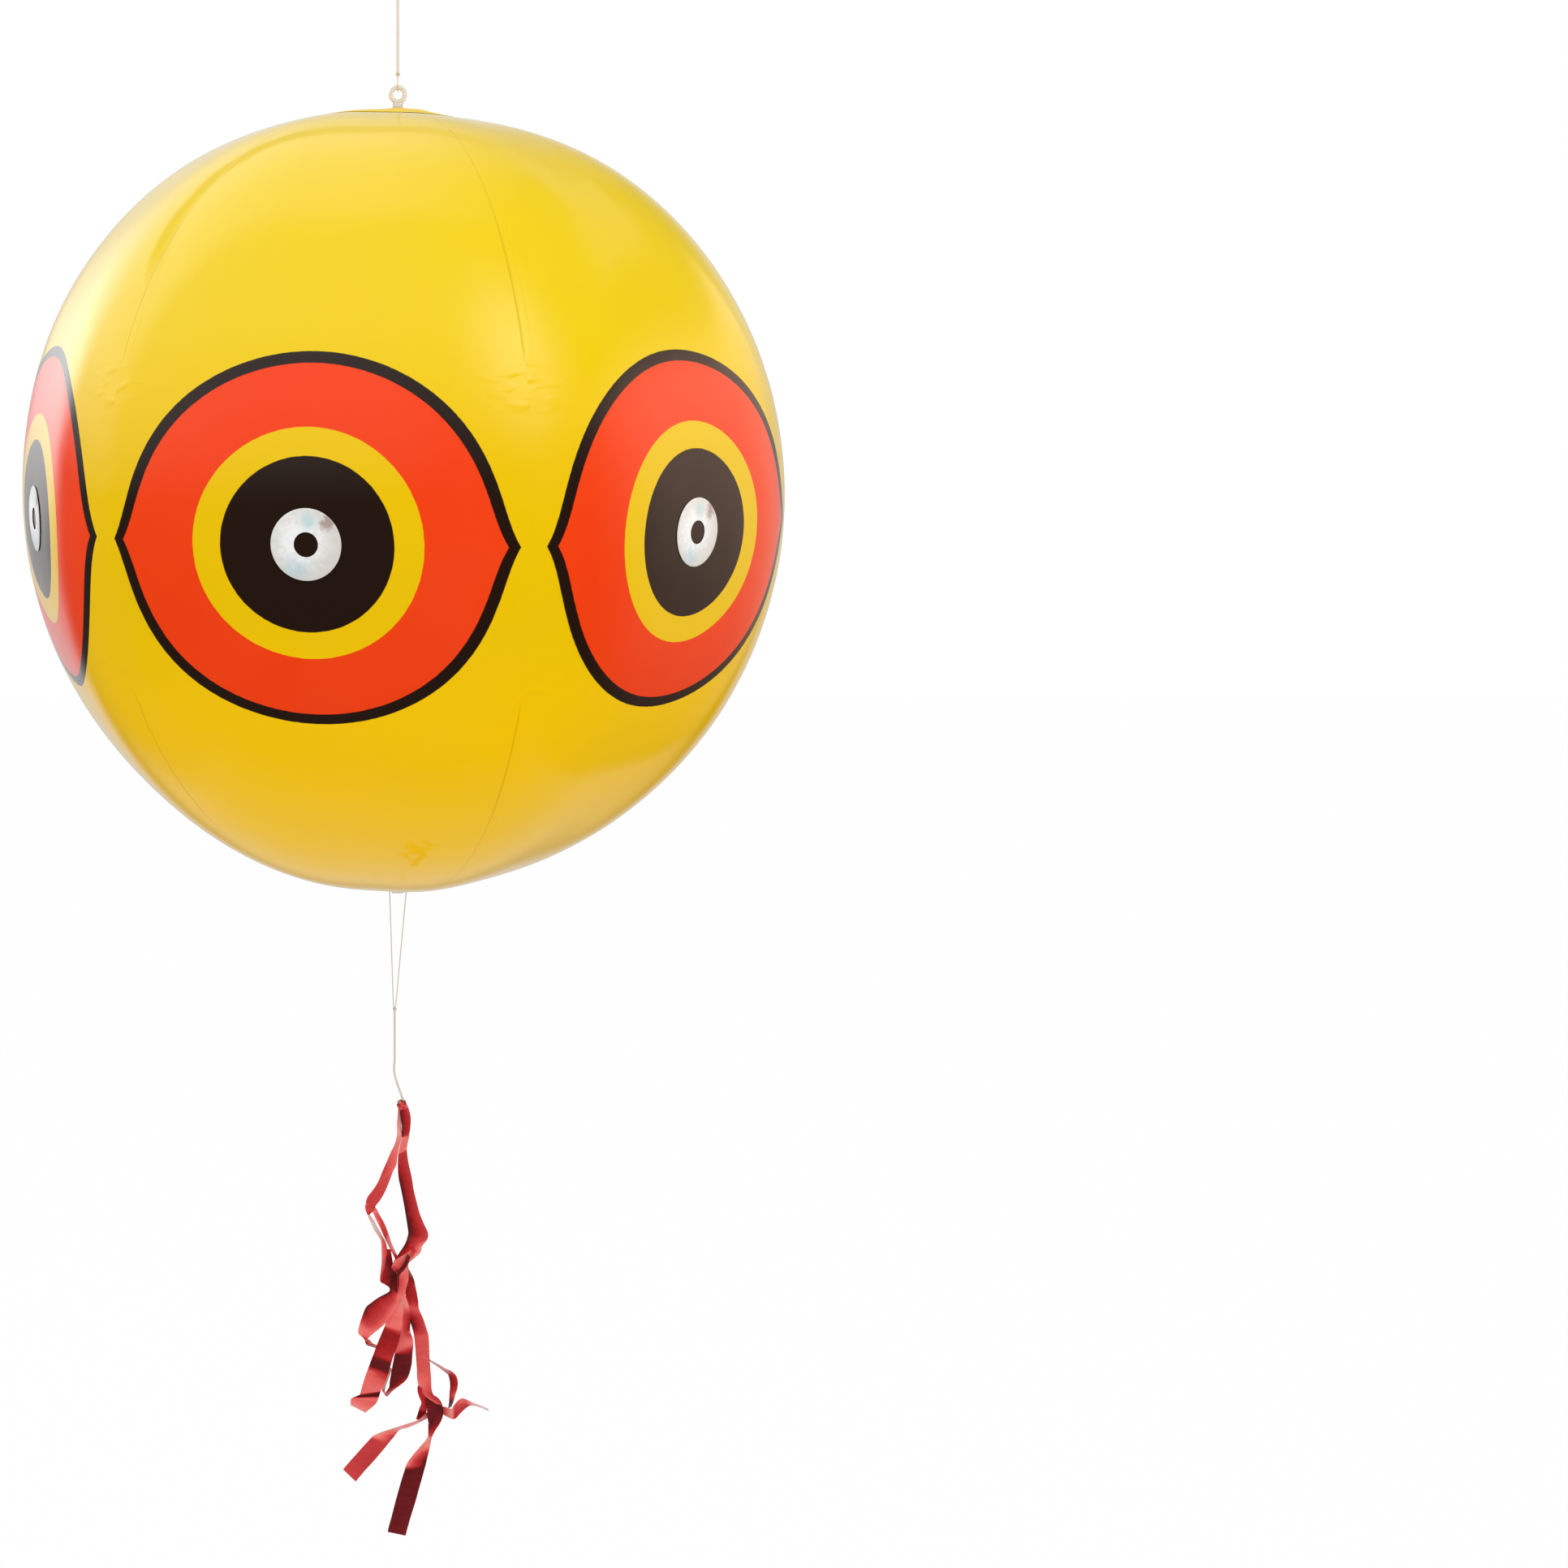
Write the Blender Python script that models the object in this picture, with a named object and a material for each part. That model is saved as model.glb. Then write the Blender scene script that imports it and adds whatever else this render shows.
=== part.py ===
"""Bird scare balloon: an inflatable ball of six welded film gores that hangs on a string,
with a swinging tail of foil ribbons and an inflation valve.

Metres, +Z up. The front of the ball faces -Y. The origin is the top of the hanging loop.
"""
import math

import bmesh
import bpy
from mathutils import Matrix, Vector

MM = 0.001

# Ball
BALL_RADIUS = 200 * MM          # mean radius of the equator
BALL_HALF_HEIGHT = 207 * MM     # half height of the egg shape before its poles are trimmed
SEAM_SWELL_SHARE = 0.025        # the seams stand out and the gore middles lie flat by this share
TOP_FLAT_SHARE = 0.035          # the top pole is pressed down by this share
BOTTOM_FLAT_SHARE = -0.012      # the bottom pole is drawn out by this share
GORES = 6
FRONT_GORE_TURN = math.radians(-12.4)   # the middle of the front gore, seen from above
FILM = 0.3 * MM                 # film thickness
LAP = 4 * MM                    # width of a welded lap
TOUCH = 0.3 * MM                # gap kept between pieces that touch
POLE_OPENING = 9 * MM           # radius of the hole that the gores leave at each pole
GORE_ROWS = 21
GORE_COLUMNS = 7

# Eye stickers
STICKER_RADIUS = 17.2 * MM
STICKER_FOIL = 0.15 * MM
EYE_TILT = math.radians(-0.94)  # latitude of the eyes' middles

# Top patch and hanging eye
PATCH_RADIUS = 31 * MM
PATCH_FILM = 0.5 * MM
PATCH_RISE = 3.4 * MM           # height of the tent's top above the ball's top pole
PATCH_EASE = 0.9 * MM           # gap between the patch's hole and the eye's neck
EYE_BASE_RADIUS = 13 * MM
EYE_BASE = 0.8 * MM
EYE_RING_HEIGHT = 11.2 * MM     # ring's middle above the ball's top pole
EYE_RING_OUTER = 9.7 * MM
EYE_RING_HOLE = 4.8 * MM
EYE_NECK_WIDTH = 5.4 * MM
EYE_NECK_DEPTH = 2.4 * MM
NECK_SIDES = 16

# Strings
STRING = 1.2 * MM               # string diameter
RING_BELOW_HANG = 72 * MM       # ring's middle below the hanging point
HANG_LOOP_HEIGHT = 17 * MM
HANG_LOOP_WIDTH = 9 * MM
KNOT_SIZE = 1.5 * MM            # radius of the middle line of an overhand knot
KNOT_SWING = 0.78 * MM          # how far its strands swing in and out
EYE_LOOP_TALL = 1.1 * MM        # straight sides that make the loop in the ring taller than round
TAIL_LOOP_DROP = 73.5 * MM      # knot of the tail loop below the bottom pole
TAIL_SWAY = 1.8 * MM            # the tail hangs this far to the left of the ball's middle
TAIL_CORD_DROP = 52 * MM        # string between the loop's knot and the ribbons

# Tail saddle
SADDLE_WIDTH = 6.6 * MM
SADDLE_LENGTH = 14 * MM
SADDLE_PLATE = 0.8 * MM
SADDLE_TUNNEL_HEIGHT = 2.4 * MM
SADDLE_TUNNEL_LENGTH = 6.4 * MM
SADDLE_BAR = 1.3 * MM
SADDLE_LEG = 1.3 * MM

# Inflation valve
VALVE_TURN = math.radians(180.8)    # at the back, where its weight balances the tail's
VALVE_TILT = math.radians(-47)  # latitude of the valve
VALVE_GORE = 3                  # number of the gore that it sits in
VALVE_FLANGE_RADIUS = 14 * MM
VALVE_FLANGE = 0.8 * MM
VALVE_STEM_RADIUS = 4.6 * MM
VALVE_BORE = 2.7 * MM
VALVE_STEM_LENGTH = 17 * MM
VALVE_LIP = 1.6 * MM            # stem that shows outside when it is pushed in
VALVE_FLAP = 0.6 * MM
STOPPER_CAP_RADIUS = 6.4 * MM
STOPPER_CAP = 1.4 * MM
STOPPER_PLUG_LENGTH = 8 * MM
STOPPER_TAPER_SHARE = 0.88

# Ribbons
RIBBON_WIDTH = 10 * MM
RIBBON_FOIL = 0.2 * MM
WRAP_FOIL = 0.25 * MM
RIBBON_STEP_SHARE = 0.5         # length of one facet of a ribbon, in ribbon widths


def smooth(mesh, angle=math.radians(35)):
    """Shades round pieces smooth and keeps their real edges."""
    mesh.shade_smooth()
    mesh.set_sharp_from_angle(angle=angle)


def paint(name, colour, roughness, metallic=0.0, clear=0.0):
    """A plain Principled material."""
    material = bpy.data.materials.get(name)
    if material:
        return material
    material = bpy.data.materials.new(name)
    material.use_nodes = True
    shader = material.node_tree.nodes["Principled BSDF"]
    shader.inputs["Base Color"].default_value = (*colour, 1)
    shader.inputs["Roughness"].default_value = roughness
    shader.inputs["Metallic"].default_value = metallic
    shader.inputs["Transmission Weight"].default_value = clear
    material.diffuse_color = (*colour, 1)
    return material


def yellow_film():
    return paint("yellow film", (0.87, 0.60, 0.02), 0.22)


def clear_vinyl():
    return paint("clear vinyl", (0.76, 0.69, 0.64), 0.3, clear=0.5)


def silver_foil():
    return paint("silver foil", (0.72, 0.72, 0.74), 0.2, metallic=0.9)


def red_foil():
    return paint("red foil", (0.58, 0.04, 0.04), 0.25, metallic=0.7)


def white_string():
    return paint("white string", (0.79, 0.72, 0.67), 0.8)


def add_mesh(name, points, faces, material, matrix=Matrix()):
    """A closed mesh from points and faces, with its faces turned out."""
    mesh = bpy.data.meshes.new(name)
    mesh.from_pydata([tuple(p) for p in points], [], faces)
    work = bmesh.new()
    work.from_mesh(mesh)
    bmesh.ops.recalc_face_normals(work, faces=work.faces)
    work.to_mesh(mesh)
    work.free()
    mesh.materials.append(material)
    smooth(mesh)
    piece = bpy.data.objects.new(name, mesh)
    bpy.context.scene.collection.objects.link(piece)
    piece.matrix_world = matrix
    return piece


def prism_faces(count):
    """The faces of a prism whose two end outlines have this many points each."""
    faces = [tuple(range(count)), tuple(range(count, 2 * count))]
    for at in range(count):
        after = (at + 1) % count
        faces.append((at, after, count + after, count + at))
    return faces


def turned(name, outline, material, matrix=Matrix(), sides=32):
    """Turns a closed outline of (radius, height) points about local Z. Points on the axis close it."""
    points, rings = [], []
    for radius, height in outline:
        if radius == 0:
            rings.append([len(points)] * sides)
            points.append((0, 0, height))
            continue
        rings.append([len(points) + side for side in range(sides)])
        for side in range(sides):
            turn = math.tau * side / sides
            points.append((radius * math.cos(turn), radius * math.sin(turn), height))
    faces = []
    count = len(rings)
    for at in range(count):
        one, two = rings[at], rings[(at + 1) % count]
        if one[0] == one[1] and two[0] == two[1]:
            continue
        for side in range(sides):
            after = (side + 1) % sides
            corners = (one[side], one[after], two[after], two[side])
            faces.append(tuple(dict.fromkeys(corners)))
    return add_mesh(name, points, faces, material, matrix)


def thick_grid(name, outer, inner, material, matrix=Matrix()):
    """A thin closed shell between two grids of points with the same rows and columns."""
    rows, columns = len(outer), len(outer[0])
    points = [p for row in outer for p in row] + [p for row in inner for p in row]
    under = rows * columns
    faces = []
    for row in range(rows - 1):
        for column in range(columns - 1):
            at = row * columns + column
            quad = (at, at + 1, at + columns + 1, at + columns)
            faces.append(quad)
            faces.append(tuple(under + corner for corner in reversed(quad)))
    rim = list(range(columns))
    rim += [row * columns + columns - 1 for row in range(1, rows)]
    rim += [(rows - 1) * columns + column for column in range(columns - 2, -1, -1)]
    rim += [row * columns for row in range(rows - 2, 0, -1)]
    for at, corner in enumerate(rim):
        after = rim[(at + 1) % len(rim)]
        faces.append((corner, under + corner, under + after, after))
    return add_mesh(name, points, faces, material, matrix)


def step_counts(points, step):
    """How many steps of about this length each stretch between two points takes."""
    return [max(1, round((after - before).length / step)) for before, after in zip(points, points[1:])]


def curve_through(points, counts):
    """Points on a smooth curve through the given points, with a count of steps for each stretch."""
    ends = [points[0] * 2 - points[1], *points, points[-1] * 2 - points[-2]]
    found = [points[0].copy()]
    for at, parts in enumerate(counts):
        a, b, c, d = ends[at:at + 4]
        for part in range(1, parts + 1):
            t = part / parts
            found.append(0.5 * (2 * b + (c - a) * t + (2 * a - 5 * b + 4 * c - d) * t * t
                                + (3 * b - a - 3 * c + d) * t * t * t))
    return found


def string_tube(name, points, closed=False, radius=STRING / 2):
    """A string as a curve with a round bevel and filled ends."""
    curve = bpy.data.curves.new(name, "CURVE")
    curve.dimensions = "3D"
    curve.bevel_depth = radius
    curve.bevel_resolution = 2
    curve.use_fill_caps = True
    line = curve.splines.new("POLY")
    line.points.add(len(points) - 1)
    for spot, point in zip(line.points, points):
        spot.co = (*point, 1)
    line.use_cyclic_u = closed
    curve.materials.append(white_string())
    piece = bpy.data.objects.new(name, curve)
    bpy.context.scene.collection.objects.link(piece)
    return piece


def overhand_knot(name, middle, size=KNOT_SIZE, swing=KNOT_SWING, turn=0.0):
    """A pulled-up overhand knot: one closed strand that crosses itself three times."""
    points = []
    steps = 32
    for step in range(steps):
        t = math.tau * step / steps
        reach = size + swing * math.cos(1.5 * 2 * t)
        points.append(Vector((reach * math.cos(2 * t + turn), -swing * math.sin(3 * t),
                              reach * math.sin(2 * t + turn))) + middle)
    return string_tube(name, points, closed=True)


# The ball's surface

RING_Z = -RING_BELOW_HANG
TOP_POLE_Z = RING_Z - EYE_RING_HEIGHT
BALL_Z = TOP_POLE_Z - BALL_HALF_HEIGHT * (1 - TOP_FLAT_SHARE)
BOTTOM_POLE_Z = BALL_Z - BALL_HALF_HEIGHT * (1 - BOTTOM_FLAT_SHARE)
FIRST_SEAM = FRONT_GORE_TURN + math.pi / GORES


def ball_point(turn, tilt, out=0.0):
    """A point on the ball at an angle from the front and a latitude, moved out along the normal."""
    flat = TOP_FLAT_SHARE if tilt > 0 else BOTTOM_FLAT_SHARE
    swell = 1 + SEAM_SWELL_SHARE * math.cos(GORES * (turn - FIRST_SEAM))
    pole = math.sin(tilt) ** 8
    radius = BALL_RADIUS * swell * math.cos(tilt)
    height = BALL_HALF_HEIGHT * math.sin(tilt) * (1 - flat * pole)
    normal = Vector((BALL_HALF_HEIGHT * math.cos(tilt) * (1 - 9 * flat * pole),
                     BALL_RADIUS * swell * math.sin(tilt))).normalized()
    radius += out * normal.x
    return Vector((radius * math.sin(turn), -radius * math.cos(turn), BALL_Z + height + out * normal.y))


def tilt_at(radius):
    """The latitude where the ball is this far from its axis."""
    return math.acos(radius / BALL_RADIUS)


def surface_height(radius, bottom=False):
    """Height of the ball's surface at a distance from its axis, near a pole."""
    tilt = tilt_at(radius)
    return ball_point(0, -tilt if bottom else tilt).z


def make_gore(number):
    """One film gore. Its left edge steps down and runs under its neighbour as a welded lap."""
    seam = FIRST_SEAM + math.tau * number / GORES
    under = -(FILM + TOUCH)
    last = tilt_at(POLE_OPENING)
    outer, inner = [], []
    for row in range(GORE_ROWS):
        tilt = last * (2 * row / (GORE_ROWS - 1) - 1)
        around = BALL_RADIUS * math.cos(tilt)
        next_seam = seam + math.tau / GORES
        start = seam + 3 * TOUCH / around
        stop = next_seam - (LAP + 1.5 * TOUCH) / around
        places = [(seam - LAP / around, under), (seam - 0.3 * TOUCH / around, under)]
        for column in range(GORE_COLUMNS + 1):
            places.append((start + (stop - start) * column / GORE_COLUMNS, 0))
        places.append((next_seam - 1.4 * TOUCH / around, 0))
        outer.append([ball_point(turn, tilt, level) for turn, level in places])
        inner.append([ball_point(turn, tilt, level - FILM) for turn, level in places])
    return thick_grid(f"gore_{number + 1}", outer, inner, yellow_film())


def gore_middle(number):
    return FIRST_SEAM + math.tau * (number + 0.5) / GORES


def make_sticker(number):
    """A round foil sticker on the pupil of a gore's eye, bent to the ball."""
    middle = gore_middle(number)
    sides, rings = 24, (0.5, 1.0)
    points, faces = [], []
    for level in (TOUCH + STICKER_FOIL, TOUCH):
        base = len(points)
        points.append(ball_point(middle, EYE_TILT, level))
        for ring in rings:
            for side in range(sides):
                turn = math.tau * side / sides
                across = ring * STICKER_RADIUS * math.cos(turn) / BALL_RADIUS
                up = ring * STICKER_RADIUS * math.sin(turn) / BALL_HALF_HEIGHT
                points.append(ball_point(middle + across, EYE_TILT + up, level))
        for side in range(sides):
            after = (side + 1) % sides
            faces.append((base, base + 1 + side, base + 1 + after))
            faces.append((base + 1 + side, base + 1 + sides + side,
                          base + 1 + sides + after, base + 1 + after))
    outer_ring = 1 + sides
    below = len(points) // 2
    for side in range(sides):
        after = (side + 1) % sides
        faces.append((outer_ring + side, below + outer_ring + side,
                      below + outer_ring + after, outer_ring + after))
    return add_mesh(f"eye_sticker_{number + 1}", points, faces, silver_foil())


def make_top_patch():
    """The round reinforcement patch, drawn up like a low tent round the hanging eye."""
    hole = EYE_NECK_WIDTH / 2 + PATCH_EASE
    shoulder = EYE_BASE_RADIUS + TOUCH
    peak = TOP_POLE_Z + PATCH_RISE - PATCH_FILM
    over_base = TOP_POLE_Z + EYE_BASE + 2 * TOUCH
    outline = []
    for share in (0, 0.3, 0.62, 1):
        drop = (1 - share) ** 1.6
        outline.append((hole + (shoulder - hole) * share, over_base + (peak - over_base) * drop))
    lift = over_base - surface_height(shoulder)
    for share in (0.35, 0.7, 1):
        radius = shoulder + (PATCH_RADIUS - shoulder) * share
        outline.append((radius, surface_height(radius) + TOUCH + (lift - TOUCH) * (1 - share) ** 2))
    upper = [(radius, height + PATCH_FILM) for radius, height in outline]
    return turned("top_patch", outline + upper[::-1], yellow_film(), sides=36)


def make_bottom_patch():
    """The round patch that closes the bottom pole."""
    shares = (0, 0.3, 0.6, 0.8, 1.0)
    upper, lower = [], []
    for share in shares:
        radius = PATCH_RADIUS * share
        height = surface_height(max(radius, POLE_OPENING / 4), bottom=True) - TOUCH
        upper.append((radius, height))
        lower.append((radius, height - PATCH_FILM))
    return turned("bottom_patch", upper + lower[::-1], yellow_film(), sides=36)


def add_union(piece, cutter):
    """Joins a hidden helper shape to a piece."""
    cutter.hide_render = True
    cutter.display_type = "WIRE"
    cutter.name = piece.name + "_" + cutter.name
    step = piece.modifiers.new(cutter.name, "BOOLEAN")
    step.operation = "UNION"
    step.solver = "EXACT"
    step.object = cutter


def add_cut(piece, cutter):
    """Cuts a hidden helper shape out of a piece."""
    cutter.hide_render = True
    cutter.display_type = "WIRE"
    step = piece.modifiers.new(cutter.name, "BOOLEAN")
    step.operation = "DIFFERENCE"
    step.solver = "EXACT"
    step.object = cutter


def torus(name, major, minor, material, matrix, sides=28, around=12):
    """A ring about local Z."""
    points, faces = [], []
    for side in range(sides):
        turn = math.tau * side / sides
        for corner in range(around):
            roll = math.tau * corner / around
            reach = major + minor * math.cos(roll)
            points.append((reach * math.cos(turn), reach * math.sin(turn), minor * math.sin(roll)))
    for side in range(sides):
        for corner in range(around):
            after, beside = (side + 1) % sides, (corner + 1) % around
            faces.append((side * around + corner, after * around + corner,
                          after * around + beside, side * around + beside))
    return add_mesh(name, points, faces, material, matrix)


def make_hang_eye():
    """The moulded eye: a round base under the patch, a flat neck and a ring."""
    base_z = TOP_POLE_Z + TOUCH
    rim = 0.25 * EYE_BASE
    outline = [(0, base_z), (EYE_BASE_RADIUS - rim, base_z), (EYE_BASE_RADIUS, base_z + rim),
               (EYE_BASE_RADIUS, base_z + EYE_BASE - rim), (EYE_BASE_RADIUS - rim, base_z + EYE_BASE),
               (0, base_z + EYE_BASE)]
    piece = turned("hang_eye", outline, clear_vinyl(), sides=28)
    thick = (EYE_RING_OUTER - EYE_RING_HOLE) / 4
    ring_middle = EYE_RING_HOLE / 2 + thick
    ring = torus("ring", ring_middle, thick, clear_vinyl(),
                 Matrix.Translation((0, 0, RING_Z)) @ Matrix.Rotation(math.pi / 2, 4, "X"))
    neck_top = RING_Z - EYE_RING_HOLE / 2 - thick
    neck_bottom = base_z + EYE_BASE / 2
    neck_outline = []
    for corner in range(NECK_SIDES):
        turn = math.tau * (corner + 0.5) / NECK_SIDES
        neck_outline.append((EYE_NECK_WIDTH / 2 * math.cos(turn), EYE_NECK_DEPTH / 2 * math.sin(turn)))
    points = [(x, y, neck_bottom) for x, y in neck_outline] + [(x, y, neck_top) for x, y in neck_outline]
    neck = add_mesh("neck", points, prism_faces(NECK_SIDES), clear_vinyl())
    add_union(piece, neck)
    add_union(piece, ring)
    return piece


def make_tail_saddle():
    """The moulded belt loop under the bottom patch that the tail's string runs through."""
    top = surface_height(POLE_OPENING / 4, bottom=True) - 2 * TOUCH - PATCH_FILM
    half = SADDLE_LENGTH / 2
    leg = SADDLE_TUNNEL_LENGTH / 2
    foot = leg + SADDLE_LEG
    roof = top - SADDLE_PLATE
    sill = roof - SADDLE_TUNNEL_HEIGHT
    keel = sill - SADDLE_BAR
    round_off = SADDLE_BAR * 0.6
    outer = [(-half, top), (half, top), (half, roof), (foot, roof), (foot, sill - SADDLE_BAR + round_off),
             (foot - round_off, keel), (round_off - foot, keel), (-foot, sill - SADDLE_BAR + round_off),
             (-foot, roof), (-half, roof)]
    x = SADDLE_WIDTH / 2
    points = [(-x, y, z) for y, z in outer] + [(x, y, z) for y, z in outer]
    piece = add_mesh("tail_saddle", points, prism_faces(len(outer)), clear_vinyl())
    hole = [(-leg, roof), (leg, roof), (leg, sill), (-leg, sill)]
    over = 2 * x
    points = [(-over, y, z) for y, z in hole] + [(over, y, z) for y, z in hole]
    add_cut(piece, add_mesh("saddle_tunnel", points, prism_faces(len(hole)), clear_vinyl()))
    return piece, sill + TOUCH + STRING / 2


def make_hang_line():
    """The string that carries the ball, with a loop at its top and one in the hanging eye."""
    loop = []
    steps = 20
    for step in range(steps + 1):
        t = math.pi * (1.5 - 2 * step / steps)
        taper = 0.5 + 0.5 * math.sin(t)
        loop.append(Vector((HANG_LOOP_WIDTH / 2 * math.cos(t) * (0.35 + 0.65 * taper), 0,
                            HANG_LOOP_HEIGHT / 2 * (math.sin(t) - 1) + STRING / 2)))
    foot = loop[0].z
    loop[0].x, loop[-1].x = -STRING, STRING
    string_tube("hang_loop", loop)
    knot_reach = KNOT_SIZE + KNOT_SWING + STRING / 2
    upper_knot = foot - TOUCH - knot_reach
    overhand_knot("hang_loop_knot", Vector((0, 0, upper_knot)))
    thick = (EYE_RING_OUTER - EYE_RING_HOLE) / 4
    bar_z = RING_Z + EYE_RING_HOLE / 2 + thick
    turn_radius = thick + TOUCH + STRING / 2
    loop_top = bar_z + turn_radius + EYE_LOOP_TALL
    knot_foot = KNOT_SIZE + KNOT_SWING / 2 + STRING / 2
    lower_knot = loop_top + STRING / 2 + TOUCH + knot_foot
    points = []
    for step in range(16):
        t = math.tau * step / 16
        lift = EYE_LOOP_TALL if math.sin(t) > 0 else 0
        points.append(Vector((0, turn_radius * math.cos(t), bar_z + turn_radius * math.sin(t) + lift)))
    string_tube("eye_loop", points, closed=True)
    overhand_knot("eye_knot", Vector((0, 0, lower_knot)), turn=math.pi / 2)
    top = Vector((0, 0, upper_knot - knot_reach - TOUCH))
    bottom = Vector((0, 0, lower_knot + knot_reach + TOUCH))
    string_tube("hang_cord", curve_through([top, (top + bottom) / 2, bottom], [5, 5]))
    return lower_knot, bar_z - turn_radius


def make_tail(string_z):
    """The tail's loop through the saddle, its knot and the string down to the ribbons."""
    side = SADDLE_WIDTH / 2 + 2 * TOUCH + STRING / 2
    join = Vector((-TAIL_SWAY, 0, BOTTOM_POLE_Z - TAIL_LOOP_DROP))
    knot_reach = KNOT_SIZE + KNOT_SWING + STRING / 2
    half_share = (0.0, 0.6, 0.98, 1.03, 1.0)
    drop_share = (0.0, 0.0, 0.16, 0.6, 1.5)
    bend = SADDLE_BAR + STRING
    half = [Vector((side * x, 0, string_z - bend * z)) for x, z in zip(half_share, drop_share)]
    legs = []
    for sign in (-1, 1):
        end = join + Vector((sign * 0.62 * STRING, 0, knot_reach + TOUCH))
        corner = [Vector((sign * p.x, 0, p.z)) for p in half]
        legs.append(corner + [corner[-1].lerp(end, 0.5), end])
    route = legs[0][::-1] + legs[1][1:]
    string_tube("tail_loop", curve_through(route, step_counts(route, 2.2 * STRING)))
    overhand_knot("tail_knot", join)
    tie = join + Vector((2.3 * TAIL_SWAY, 0, -TAIL_CORD_DROP))
    start = join - Vector((0, 0, knot_reach + TOUCH))
    mid = start.lerp(tie, 0.5)
    route = [start, Vector((start.x, 0, mid.z)), Vector((start.x, 0, mid.z - 0.45 * (mid.z - tie.z))), tie]
    string_tube("tail_cord", curve_through(route, step_counts(route, 2.5 * STRING)))
    return tie


def winding(name, middle, radius, turns, pitch):
    """A short whipping of string round the ribbons' gathered tops."""
    points = []
    per_turn = 12
    count = int(turns * per_turn)
    for step in range(count + 1):
        t = math.tau * step / per_turn
        points.append(middle + Vector((radius * math.cos(t), radius * math.sin(t), -pitch * step / per_turn)))
    return string_tube(name, points)


def make_ribbon(name, tie, shares, foil=RIBBON_FOIL):
    """A foil ribbon along a route of (x, y, z, width, twist) points, in ribbon widths and degrees."""
    route = [Vector((x, y, z)) for x, y, z, width, twist in shares]
    lead = [Vector((width, twist, 0)) for x, y, z, width, twist in shares]
    counts = step_counts(route, RIBBON_STEP_SHARE)
    middles = curve_through(route, counts)
    leads = curve_through(lead, counts)
    outer, inner = [], []
    for at, (middle, guide) in enumerate(zip(middles, leads)):
        along = (middles[min(at + 1, len(middles) - 1)] - middles[max(at - 1, 0)]).normalized()
        flat = along.cross(Vector((0, 1, 0))).normalized()
        across = Matrix.Rotation(math.radians(guide.y), 3, along) @ flat
        face = along.cross(across).normalized()
        spot = tie + middle * RIBBON_WIDTH
        reach = across * RIBBON_WIDTH * guide.x / 2
        outer.append([spot - reach + face * foil / 2, spot + reach + face * foil / 2])
        inner.append([spot - reach - face * foil / 2, spot + reach - face * foil / 2])
    ribbon = thick_grid(name, outer, inner, red_foil())
    ribbon.modifiers.new("flat_faces", "TRIANGULATE")
    return ribbon


def make_wrap(name, tie, middle_share, half_share, turns, climb_share, lean=0.0):
    """A ribbon wound round the bunch: an oval band whose turns lie one over the other."""
    wide, deep = half_share
    per_turn = 20
    count = int(turns * per_turn)
    outer, inner = [], []
    tilt = Matrix.Rotation(lean, 3, "Y")
    for step in range(count + 1):
        t = math.tau * step / per_turn
        grow = 3 * WRAP_FOIL * step / per_turn
        away = Vector((math.cos(t), math.sin(t), 0))
        spot = Vector(((wide * RIBBON_WIDTH + grow) * math.cos(t), (deep * RIBBON_WIDTH + grow) * math.sin(t),
                       RIBBON_WIDTH * climb_share * (0.5 - step / count)))
        rows = []
        for level in (WRAP_FOIL, 0):
            for end in (-0.5, 0.5):
                point = spot + away * level + Vector((0, 0, RIBBON_WIDTH * end))
                rows.append(tie + Vector(middle_share) * RIBBON_WIDTH + tilt @ point)
        outer.append(rows[:2])
        inner.append(rows[2:])
    return thick_grid(name, outer, inner, red_foil())


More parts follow.
